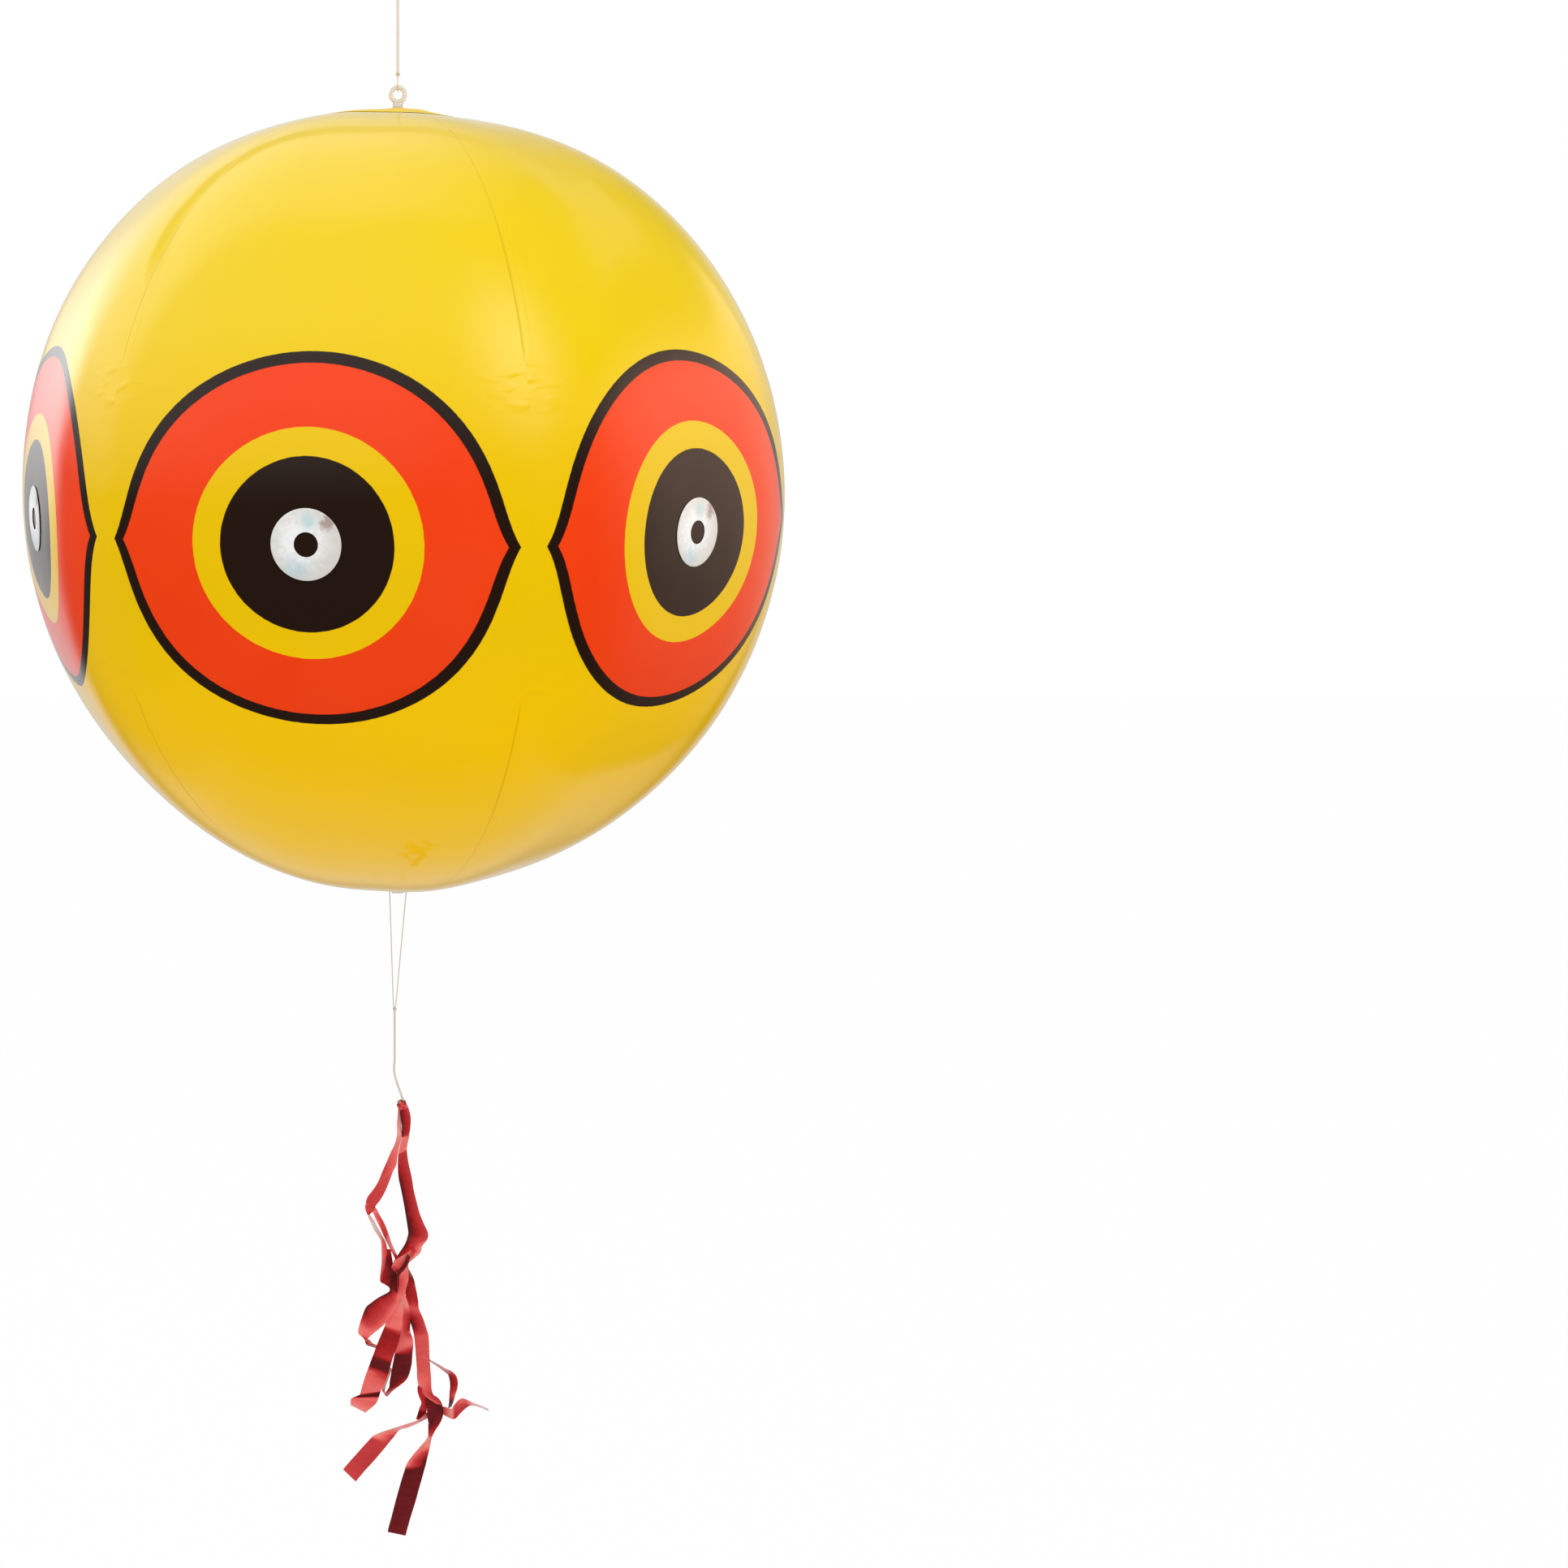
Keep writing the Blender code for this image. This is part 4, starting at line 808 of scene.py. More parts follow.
def round_sheet(name, place, rings, sides=96, hollow=False):
    """A round sheet of rings of points, hollow or with a middle one; place takes a share of it and an angle."""
    points, faces = [], []
    for ring in range(0 if hollow else 1, rings + 1):
        for side in range(sides):
            points.append(place(ring / rings, math.tau * side / sides))
    for side in range(sides):
        after = (side + 1) % sides
        for base in range(0, len(points) - sides, sides):
            faces.append((base + side, base + sides + side, base + sides + after, base + after))
        if not hollow:
            faces.append((len(points), side, after))
    if not hollow:
        points.append(place(0, 0))
    return mesh_from(name, points, faces, close=False)


def foil_material():
    """Silvered film of the stickers: faint rainbow patches, a painted white highlight at the upper left, pinkish grey
    flecks at the upper right, fine scratches.
    """
    material, tree, shader = new_material("Holographic silvered sticker film", Metallic=0.12, Roughness=0.3)
    place = add(tree, "ShaderNodeAttribute", attribute_name="sticker_mm").outputs["Vector"]
    spot = add(tree, "ShaderNodeSeparateXYZ", {0: place}).outputs
    known = {"place": place, "x": spot["X"], "y": spot["Y"], "colour": linear("#DDDAD4")}
    work_out(tree, known, "patches = noise place 0.35 4 0.5 0.6, speck = patches * 2")
    # A blue patch, a painted white highlight, a teal patch and a pinkish grey patch: the way to each, how far in mm,
    # its width, where it fades, its colour
    for (way_x, way_y), reach, width, low, high, hue in (((-0.42, -0.9), 10, 4, 0.1, 0.75, "#B4D0DC"),
                                                         ((-0.75, 0.65), 3, 9, 0.1, 0.8, "#FAFCFD"),
                                                         ((0.1, 1.0), 11, 3, 0.2, 1.0, "#CDE3E6"),
                                                         ((0.72, 0.7), 14, 3.4, 0.45, 0.9, "#B5A29C")):
        work_out(tree, known, f"""
            a = x * {way_x}, run = y * {way_y} + a, b = x * {-way_y}, side = y * {way_x} + b
            run = run - {reach}, run = run * run, away = side * side + run
            away = away * {-1 / (2 * width ** 2)}, near = exponent away, near = near * speck
            near = spread near {low} {high}, colour = blend near colour {hue}""")
    work_out(tree, known, f"""
        scratches = noise place 2.2 5, dull = spread scratches 0.3 0.7 0.22 0.38
        worn = bump scratches 0.2 {0.05 * MM}""")
    dress(tree, shader, known, Base_Color="colour", Roughness="dull", Normal="worn")
    return material


class BALLOON_OT_stickers(bpy.types.Operator):
    """Lays a foil ring sticker on each pupil"""
    bl_idname = "balloon.stickers"
    bl_label = "Stickers"

    def execute(self, context):
        sizes, marks = context.scene.balloon_ball, context.scene.balloon_print
        foil = foil_material()
        tilt, rim, drop, lift, thickness = math.radians(-0.78), 0.06, 0.1 * MM, 0.5 * MM, 0.15 * MM
        for number in range(GORES):
            middle = FIRST_SEAM + math.tau * (number + 0.5) / GORES
            flats = []

            def place(share, angle):
                reach = marks.sticker_hole + (marks.sticker_radius - marks.sticker_hole) * share
                rounding = -drop * max(0, 1 - min(share, 1 - share) / rim) ** 2
                flats.append((reach * math.cos(angle) / MM, reach * math.sin(angle) / MM, number * 40.0))
                return ball_point(middle + reach * math.cos(angle) / (sizes.radius * (1 - sizes.seam_swell)),
                                  tilt + reach * math.sin(angle) / sizes.half_height, lift + rounding)

            mesh = round_sheet(f"foil_sticker_{number + 1}", place, 36, hollow=True)
            store(mesh, "sticker_mm", flats)
            piece = new_piece(mesh.name, mesh, foil)
            thickened(piece, thickness)
            settle(piece, "ball", "silver_foil", f"eye_sticker_{number + 1}")
        return {"FINISHED"}


def pole_height(radius, turn, side=1):
    """Height of the film's outer face at a distance from the axis, near the top or, with side -1, the bottom pole."""
    sizes = bpy.context.scene.balloon_ball
    swell = 1 + sizes.seam_swell * math.cos(GORES * (turn - FIRST_SEAM))
    tilt = math.acos(min(1, radius / (sizes.radius * swell)))
    return ball_point(turn, side * tilt).z


class BALLOON_OT_patches(bpy.types.Operator):
    """Lays the round film patches over the two poles"""
    bl_idname = "balloon.patches"
    bl_label = "Pole patches"

    def execute(self, context):
        film = film_material("Plain yellow PVC film", roughness=0.4)
        film.node_tree.nodes["Principled BSDF"].inputs["Specular IOR Level"].default_value = 0.15
        hole, shoulder, rim, thickness = 3.3 * MM, 13.3 * MM, 31 * MM, 0.18 * MM
        clear, pleats, pleat_size, below, lip = 0.1 * MM, 0.22 * MM, 2.2, 0.75 * MM, 0.2 * MM
        edge_mean, edge_sway, peak_bend, skirt_bend = 35, 4, 1.3, 1.6
        # Each patch's place on the film: how far up it in mm, well away from the welds, and its layer in the noise
        top_cut, bottom_cut = (150, 90), (-150, 120)
        base, peak = TOP_POLE_Z + 3.1 * MM, TOP_POLE_Z + 4.3 * MM
        flats = []

        def tent(share, angle):
            edge = (edge_mean - edge_sway * math.sin(angle)) * MM
            radius = hole + (edge - hole) * share
            if radius < shoulder:
                height = base + (peak - base) * (1 - (radius - hole) / (shoulder - hole)) ** peak_bend
            else:
                run = (radius - shoulder) / (edge - shoulder)
                lift = base - pole_height(shoulder, angle)
                height = pole_height(radius, angle) + clear + (lift - clear) * (1 - run) ** skirt_bend
            away = min(1, max(0, share * (1 - share) * 5))
            pleat = noise.noise(Vector((math.cos(angle) * pleat_size, math.sin(angle) * pleat_size, 4 + share / 2)))
            flats.append((radius * math.cos(angle) / MM, radius * math.sin(angle) / MM + top_cut[0], top_cut[1]))
            return Vector((radius * math.sin(angle), -radius * math.cos(angle),
                           height + thickness + away * pleats * pleat))

        def disc(share, angle):
            radius = max(rim * share, 1 * MM)
            flats.append((radius * math.cos(angle) / MM, radius * math.sin(angle) / MM + bottom_cut[0], bottom_cut[1]))
            return Vector((rim * share * math.sin(angle), -rim * share * math.cos(angle),
                           pole_height(radius, angle, -1) - below + lip * share ** 6))

        for name, place, open_middle in (("top_patch", tent, True), ("bottom_patch", disc, False)):
            flats.clear()
            mesh = round_sheet(name + "_film", place, 30, hollow=open_middle)
            store(mesh, "film_mm", flats)
            if (mesh.polygons[5].normal.z > 0) != (name == "top_patch"):
                mesh.flip_normals()
            piece = new_piece(mesh.name, mesh, film)
            thickened(piece, 0.15 * MM, edge=0.05 * MM)
            settle(piece, "ball", "yellow_film", name)
        return {"FINISHED"}


# Moulded fittings


def vinyl_material():
    """Milky clear moulded PVC: soft gloss, a faint haze inside, mould marks and handling scuffs."""
    material, tree, shader = new_material("Milky clear moulded PVC", IOR=1.5, Transmission_Weight=0.45,
                                          Subsurface_Weight=0.35, Subsurface_Scale=2.0 * MM)
    known = work_out(tree, {"place": add(tree, "ShaderNodeTexCoord").outputs["Object"]}, f"""
        haze = noise place 300 3, colour = blend haze #EEE7E1 #FAF6F2, scuffs = noise place 1800 5
        dull = spread scuffs 0.35 0.7 0.22 0.42, worn = bump scuffs 0.3 {0.04 * MM}""")
    dress(tree, shader, known, Base_Color="colour", Roughness="dull", Normal="worn")
    return material


def moulded_copy(name, node, voxel):
    """A softened copy of a CAD node: merged, remeshed finely and smoothed, as a moulding comes out."""
    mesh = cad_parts[node].data.copy()
    mesh.name = name
    work = bmesh.new()
    work.from_mesh(mesh)
    bmesh.ops.remove_doubles(work, verts=work.verts, dist=0.01 * MM)
    work.to_mesh(mesh)
    work.free()
    mesh.materials.clear()
    holder = new_piece(name + "_source", mesh, None)
    fine = holder.modifiers.new("fine", "REMESH")
    fine.mode = "VOXEL"
    fine.voxel_size = voxel
    even = holder.modifiers.new("even", "SMOOTH")
    even.factor = 0.5
    even.iterations = 4
    made = plain_mesh(holder, name)
    bpy.data.objects.remove(holder)
    made.shade_smooth()
    return made


def rounded(outline, radius, parts=4):
    """An outline with each of its corners turned into a small curve."""
    found = []
    count = len(outline)
    for at in range(count):
        before, corner, after = (np.array(outline[(at + step) % count], float) for step in (-1, 0, 1))
        if corner[0] < 0.001:
            found.append(tuple(corner))
            continue
        cut = min(radius, np.linalg.norm(before - corner) * 0.45, np.linalg.norm(after - corner) * 0.45)
        start = corner + (before - corner) / np.linalg.norm(before - corner) * cut
        stop = corner + (after - corner) / np.linalg.norm(after - corner) * cut
        for part in range(parts + 1):
            t = part / parts
            found.append(tuple(start * (1 - t) ** 2 + corner * 2 * t * (1 - t) + stop * t * t))
    return found


def lathed(name, outline, matrix, sides=72):
    """A closed turned form from an outline of radius and height in mm."""
    points, faces = [], []
    for side in range(sides):
        turn = math.tau * side / sides
        for radius, height in outline:
            points.append(matrix @ (Vector((radius * math.cos(turn), radius * math.sin(turn), height)) * MM))
    count = len(outline)
    for side in range(sides):
        after = (side + 1) % sides
        for at in range(count):
            beside = (at + 1) % count
            if max(outline[at][0], outline[beside][0]) > 0.001:
                faces.append((side * count + at, after * count + at, after * count + beside, side * count + beside))
    return mesh_from(name, points, faces)


class BALLOON_OT_fittings(bpy.types.Operator):
    """Moulds the hanging eye, the saddle under the ball and the inflation valve with its stopper"""
    bl_idname = "balloon.fittings"
    bl_label = "Fittings"

    def execute(self, context):
        vinyl = vinyl_material()
        for node, voxel in (("hang_eye", 0.22 * MM), ("tail_saddle", 0.14 * MM)):
            piece = new_piece(node + "_moulding", moulded_copy(node + "_moulding", node, voxel), vinyl)
            settle(piece, "ball", "clear_vinyl", node)
        matrix = Matrix.Translation(VALVE_SPOT) @ VALVE_OUT.to_track_quat("Z", "Y").to_matrix().to_4x4()
        outlines = {
            "valve_flange": ("ball", [(VALVE_HOLE, 0.3), (13.76, 0.3), (14, 0.54), (13.76, 1.1), (12.6, 1.1),
                                      (12.4, 0.95), (12.1, 0.95), (11.9, 1.1), (11.1, 1.1), (10.9, 0.95),
                                      (10.6, 0.95), (10.4, 1.1), (6.5, 1.1), (5.7, 1.9), (VALVE_HOLE, 1.9)], 0.12),
            "valve_stem": ("valve", [(2.7, 3.8), (2.7, -13.2), (4.6, -13.2), (4.6, 2.2), (5.8, 2.2), (5.8, 3.8)],
                           0.3),
            "valve_flap": ("valve", [(0, -13.5), (4.6, -13.5), (4.6, -14.1), (0, -14.1)], 0.2),
            "valve_stopper": ("stopper", [(0, 5.25), (2.6, 5.25), (3.0, 5.5), (6.0, 5.5), (6.4, 5.1), (6.4, 4.1),
                                          (2.4, 4.1), (2.4, 1.6), (2.48, 1.2), (2.36, 0.8), (2.11, -3.9),
                                          (0, -3.9)], 0.2)}
        for node, (body, outline, corner) in outlines.items():
            piece = new_piece(node + "_moulding", lathed(node + "_moulding", rounded(outline, corner), matrix),
                              vinyl)
            settle(piece, body, "clear_vinyl", node)
        return {"FINISHED"}


# Ribbons, traced edge to edge: x and z of both edges and y of the middle, in mm from the tie, then the painted light
# and shade at each edge, deep shade at 0 up to pink sheen near 1
RIBBON_EDGES = {
    "ribbon_middle": [
        (-0.5, -4.8, 3.2, -4.8, 0, 0.3, 0.5), (-1, -9.4, 4.6, -10.3, 0.5, 0.1, 0.5),
        (-0.5, -14.4, 5, -14.4, 1, 0.1, 0.45), (0, -19.4, 4.6, -20.4, 1.5, 0.1, 0.45),
        (0, -24, 4.1, -23, 2, 0.15, 0.5), (0, -25.2, 4.1, -24.3, 2, 0.8, 0.8), (-1, -29.6, 3, -30.1, 2.5, 0.8, 0.8),
        (-1.9, -34.9, 2.8, -32.2, 3, 0.8, 0.8), (-2.1, -36.1, 2.8, -33.4, 3, 0.5, 0.5),
        (-2.3, -42.2, 3.7, -40.7, 3.5, 0.3, 0.5), (-1.9, -49.8, 5.6, -49.8, 4, 0.1, 0.5),
        (-0.5, -57.4, 6.7, -57.4, 4.5, 0.05, 0.5), (0.9, -65, 8.4, -65, 5, 0.05, 0.5),
        (2.1, -72.4, 10.3, -72.4, 5, 0.05, 0.55), (3, -78.4, 12.6, -78.4, 5, 0, 0.55),
        (3.7, -83.6, 15, -83.9, 4.5, 0, 0.55), (3.3, -85.9, 14.7, -87.4, 4, 0.05, 0.6),
        (2.3, -89, 11.7, -91.4, 3, 0.05, 0.9), (0.5, -92.2, 10.7, -95.2, 2.5, 0.05, 1),
        (-1.4, -95, 7, -98.5, 2, 0.1, 1), (-3.3, -97.6, 3.3, -101.6, 1, 0.2, 0.9),
        (-5.1, -100.8, 1.4, -103.8, 0.5, 0.8, 0.3), (-5.1, -104.2, -0.9, -107.7, 0.2, 0.6, 0.1),
        (-5.1, -108.6, -1.4, -112.6, 0, 0.1, 0.5), (-4.7, -113.6, -0.9, -116.6, 0, 0.1, 0.6)],
    "ribbon_left": [
        (-2.1, -5.1, 0, -5.1, -0.5, 0.6, 0.6), (-2.3, -9.8, -0.5, -9.8, -1, 0.9, 0.9),
        (-2.8, -15.9, -0.5, -15.9, -1.5, 0.95, 0.95), (-2.8, -21.9, 0, -21.9, -2.5, 0.95, 0.9),
        (-4.2, -27.5, -1.6, -29, -3, 0.8, 0.8), (-6.5, -32.2, -2.6, -34.6, -3.5, 0.75, 0.75),
        (-8.8, -37.8, -3.3, -39.3, -4, 0.6, 0.75), (-11.1, -42.8, -5.1, -42.8, -5, 0.55, 0.7),
        (-13.4, -48.5, -7.2, -48.5, -5.5, 0.6, 0.6), (-16.2, -53.2, -9.5, -54.2, -6, 0.55, 0.6),
        (-19.4, -57.4, -12, -58.8, -6.5, 0.55, 0.55), (-20.6, -61.1, -14.6, -62.1, -7, 0.55, 0.55),
        (-20.8, -64.5, -15.7, -64, -7, 0.6, 0.6), (-19.2, -68.5, -15.5, -63.6, -6.8, 0.6, 0.6),
        (-16.7, -66.7, -14.8, -64.2, -6.5, 0.7, 0.6), (-14.8, -71.3, -12.5, -68.9, -6, 0.75, 0.5),
        (-12.5, -76.7, -10, -74.2, -5, 0.6, 0.45), (-10.7, -81.5, -7.9, -80.1, -4, 0.35, 0.6),
        (-8.4, -86.9, -6.1, -86.4, -3, 0.3, 0.8), (-6.1, -92.3, -4.2, -91.3, -2, 0.3, 0.9),
        (-4.2, -96.6, -2.8, -95.1, -1.2, 0.3, 0.6), (-3.3, -102.3, -1.4, -100.8, -0.8, 0.2, 0.4),
        (-3.3, -109.8, -0.9, -109.8, -0.6, 0.15, 0.5)],
    "ribbon_strand": [
        (-19.6, -67.1, -18.3, -67.4, -9, 0.9, 0.9), (-17.6, -72.5, -15.7, -71.3, -8.5, 1.1, 1.1),
        (-15.8, -76.9, -13.9, -75.4, -8, 1.1, 1.1), (-13, -81.8, -11.4, -80.5, -7, 1, 1),
        (-11.8, -85.1, -9.3, -85.1, -6, 0.8, 0.8), (-11.6, -91.5, -8.4, -91, -5, 0.85, 0.6),
        (-11.6, -98.4, -8.6, -98.4, -4, 0.85, 0.6), (-12.1, -103.8, -9.1, -102.8, -3, 0.8, 0.5),
        (-12.6, -109, -9.8, -106.5, -2.6, 0.75, 0.2), (-11.7, -111.7, -7, -107.7, -2, 0.15, 0.1),
        (-7.5, -113.9, -4.2, -108.9, -1.6, 0.1, 0.1), (-6.1, -118.1, -2.8, -113.1, -1.2, 0.1, 0.1)],
    "ribbon_left_loop": [
        (-5.1, -106.8, -1.9, -106.8, -1.8, 0.1, 0.2), (-6.1, -112.7, -2.3, -112.7, -2, 0.1, 0.3),
        (-7, -116.5, -1.4, -119, -2.5, 0.05, 0.8), (-9.8, -118.1, -2.3, -124.1, -3.5, 0.05, 0.8),
        (-14, -120.1, -5.6, -129.6, -4.5, 0.15, 0.8), (-17.7, -122.6, -8.9, -134.2, -5.5, 0.1, 0.75),
        (-20.5, -124.8, -12.2, -137.4, -6.2, 0.1, 0.75), (-22.4, -129.1, -15, -139.6, -6.8, 0.15, 0.8),
        (-24.1, -134.5, -17.8, -142, -7, 0.7, 0.8), (-25.2, -140, -19.6, -144, -7, 0.9, 0.7),
        (-23.4, -142.7, -20.1, -145.3, -6.5, 0.9, 0.5), (-21.5, -145, -18.7, -145, -6, 0.3, 0.5),
        (-20.6, -148.3, -17.3, -147.2, -5.5, 0.2, 0.3), (-17.8, -149.8, -15.5, -148.5, -5, 0.2, 0.3),
        (-14.1, -151.5, -12.7, -150, -4, 0.2, 0.2)],
    "ribbon_left_end": [
        (-4.7, -110.3, -0.9, -110.3, 0.5, 0.3, 0.3), (-5.2, -117.8, -0.5, -117.8, 0.3, 0.6, 0.8),
        (-5.6, -124.9, 0.9, -124.9, -0.5, 0.8, 0.9), (-8, -131.8, 0.5, -132.8, -2, 0.75, 0.8),
        (-9.8, -137.8, -0.5, -140.3, -3.2, 0.75, 0.75), (-10.3, -139.1, -0.9, -143.7, -3.5, 0.25, 0.25),
        (-12.7, -144.9, -2.3, -149, -4, 0.22, 0.25), (-15, -150.7, -4.5, -154.7, -4.6, 0.25, 0.3),
        (-16.4, -154.8, -5.6, -158.1, -5, 0.25, 0.4), (-17.1, -156.5, -6.3, -160.5, -5.2, 0.1, 0.12),
        (-18.8, -161.3, -7.5, -165.4, -5.6, 0.08, 0.1), (-19.7, -163.8, -8.2, -167.3, -5.8, 0.7, 0.3),
        (-21.1, -167.7, -9.4, -170.8, -6, 0.75, 0.6), (-23, -174.3, -11.7, -175.9, -6, 0.75, 0.75),
        (-24.2, -178.9, -12.2, -177.1, -6, 0.7, 0.7), (-25.4, -179.9, -12.5, -177.9, -6, 0, 0),
        (-27.8, -180.9, -13.2, -180.4, -6, 0, 0), (-28.7, -181.4, -13.6, -181.4, -6, 0.7, 0.75),
        (-29.6, -182.5, -15.1, -185, -6, 0.75, 0.7), (-29.7, -186, -21.2, -190.6, -6, 0.95, 0.85)],
    "ribbon_dark_loop": [
        (-3.7, -111.7, -0.5, -111.7, 1.3, 0.5, 0.5), (-3.3, -119.2, 1.4, -119.2, 1.2, 0.7, 0.8),
        (-1.9, -127.2, 3.8, -127.2, 1.2, 0.8, 0.9), (-0.9, -134.3, 5.2, -135.3, 1.2, 0.8, 0.2),
        (-0.5, -141.8, 4.7, -142.3, 1.2, 0.75, 0.2), (-2.3, -148.4, 6.4, -148.4, 1.2, 0.75, 0.75),
        (-3.8, -154.5, 6.6, -151.9, 1.2, 0.75, 0.75), (-4, -156.5, 6.4, -154.5, 1.2, 0.75, 0.3),
        (-4.2, -158, 6.1, -157.5, 1.2, 0.1, 0.15), (-5.2, -163.6, 5.7, -163.6, 1.2, 0.08, 0.1),
        (-6.4, -170.8, 4.3, -169.8, 1.3, 0.05, 0.1), (-7.1, -175.4, 2.4, -173.9, 1.4, 0.05, 0.25),
        (-7.5, -178.6, -1.4, -177.5, 1.5, 0.05, 0.3), (-9.9, -182.1, -5.2, -180.6, 1.5, 0.3, 0.4),
        (-11.3, -181.1, -9, -184.4, 1.5, 0.6, 0.5), (-11.3, -178.5, -9.9, -180, 1.4, 0.9, 0.8),
        (-9.4, -172.3, -8, -173.4, 1.3, 0.9, 0.8), (-7.1, -165.7, -5.6, -166.7, 1.2, 0.9, 0.8)],
    "ribbon_right": [
        (-1.4, -100.4, 1.9, -102.4, 4, 0.2, 0.2), (0.9, -105.8, 4.7, -107.8, 5, 0.2, 0.1),
        (1.9, -111.5, 6.8, -112.5, 5.4, 0.3, 0.1), (1.9, -119, 8.2, -119, 5.4, 0.2, 0.35),
        (2.4, -124.9, 9.4, -125.9, 5, 0.3, 0.3), (2.8, -130.8, 9.9, -130.8, 4.7, 0.7, 0.65),
        (4.3, -136.8, 12.3, -136.8, 4.6, 0.1, 0.6), (6.1, -142.9, 14.2, -142.9, 4.6, 0.1, 0.65),
        (7.1, -147.5, 15.4, -147.5, 4.7, 0.6, 0.65), (7.8, -154.2, 15.9, -154.2, 4.8, 0.65, 0.65),
        (8.3, -161.4, 16.1, -161.4, 5, 0.65, 0.68), (8.8, -168.5, 16.6, -168.5, 5, 0.65, 0.68),
        (9, -174.7, 17.1, -174.7, 5, 0.8, 0.75), (10, -180.2, 17.3, -180.7, 4.8, 0.9, 0.7),
        (11.9, -183.4, 18.5, -184.4, 4, 0.4, 0.7), (14.3, -187, 21.9, -188.5, 3, 0.1, 0.3),
        (15.7, -191.4, 22.8, -193.4, 1.5, 0.05, 0.1)],
    "ribbon_right_loop": [
        (16.1, -162.9, 16.1, -163.9, 5.5, 0.4, 0.4), (21.3, -165.7, 21.3, -167.5, 5, 0.6, 0.4),
        (25.6, -168.2, 25.1, -170.3, 4.4, 0.7, 0.4), (28.9, -169.3, 27, -171.6, 3.5, 0.6, 0.2),
        (31.7, -171.7, 27.9, -174.2, 2, 0.4, 0.1), (32.6, -175.3, 28.2, -177.8, 1, 0.3, 0.15),
        (32.2, -178.9, 27.9, -180.5, 0.2, 0.4, 0.3), (31, -182.8, 27.7, -183.8, -0.3, 0.75, 0.4),
        (30.1, -186.3, 27.5, -187.3, -0.5, 0.1, 0.05), (28.9, -189.8, 27, -190.9, -0.5, 0.1, 0.1)],
    "ribbon_short_end": [
        (22.8, -190.1, 22.8, -194.2, 0, 0.5, 0.5), (25.6, -190, 25.1, -195.4, -0.2, 0.7, 0.6),
        (27.5, -190.9, 27.3, -196.6, -0.4, 0.8, 0.9), (29.1, -190.9, 29.6, -197.5, -0.5, 1, 0.8),
        (30.8, -188.2, 31.5, -196.9, -0.7, 0.7, 0.35), (33.1, -185.3, 34.1, -193.7, -0.9, 0.8, 0.35),
        (35.5, -184.1, 36.5, -191, -1.2, 0.85, 0.35), (38.8, -185.2, 39.7, -188.5, -1.6, 0.9, 0.6),
        (42.5, -186.8, 43, -188.6, -2, 1, 1), (46.8, -188.3, 47, -189.8, -2.5, 1.05, 1.05),
        (50.6, -189.9, 50.6, -191.1, -3, 1.05, 1.05)],
    "ribbon_lower_left": [
        (16.6, -192.4, 17.1, -196, -0.5, 0.3, 0.3), (13.8, -193.7, 14.7, -196.8, -1, 0.3, 0.6),
        (10.9, -196.5, 11.4, -198.6, -1.5, 0.5, 0.8), (8.1, -198, 8.5, -199.8, -2, 0.7, 0.8),
        (2.9, -199.6, 3.3, -201.9, -2.5, 0.75, 0.8), (-2.3, -201.1, -0.9, -202.9, -3, 0.9, 0.85),
        (-7.5, -202.7, -3.3, -205.2, -3.5, 0.9, 0.7), (-11.8, -203.9, -4.7, -207, -4, 0.95, 0.45),
        (-16.5, -205.9, -7.1, -209.8, -4.6, 0.95, 0.5), (-18.4, -207.8, -9.2, -212.5, -4.9, 0.5, 0.5),
        (-21.3, -211, -11.3, -215.1, -5.2, 0.5, 0.5), (-26, -216.5, -16.6, -221.6, -5.6, 0.5, 0.45),
        (-30.3, -221.5, -21.8, -227.6, -5.9, 0.55, 0.5), (-34.3, -226.6, -27, -234.3, -6, 0.6, 0.55)],
    "ribbon_bottom": [
        (15.7, -196.5, 21.4, -196.5, 0.5, 0.05, 0.1), (15.5, -201.7, 20, -202.7, 0.6, 0.1, 0.35),
        (15.5, -206.9, 17.6, -208.5, 0.8, 0.4, 0.5), (15.2, -209.6, 17.4, -210.7, 1, 0.9, 0.8),
        (12.9, -213.3, 16.9, -213.3, 1.2, 0.9, 0.85), (10, -217.1, 16.5, -216.1, 1.5, 0.85, 0.85),
        (6.7, -221.4, 15.8, -219.4, 1.8, 0.85, 0.4), (3.9, -225.7, 14.8, -224.2, 2.1, 0.85, 0.05),
        (2.4, -229, 14.1, -227.9, 2.3, 0.8, 0.05), (1.7, -231.7, 13.4, -230.6, 2.5, 0.1, 0.08),
        (0, -237.5, 12, -236.4, 2.7, 0.08, 0.1), (-1.9, -245, 10.1, -243.9, 3, 0.08, 0.12),
        (-4, -253.3, 8, -252.3, 3, 0.08, 0.12), (-6.2, -262.7, 5.3, -261.7, 3, 0.1, 0.12),
        (-7.6, -268, 3.7, -268, 3, 0.12, 0.14), (-8.3, -271.7, 2.2, -274.1, 3, 0.13, 0.15)],
}

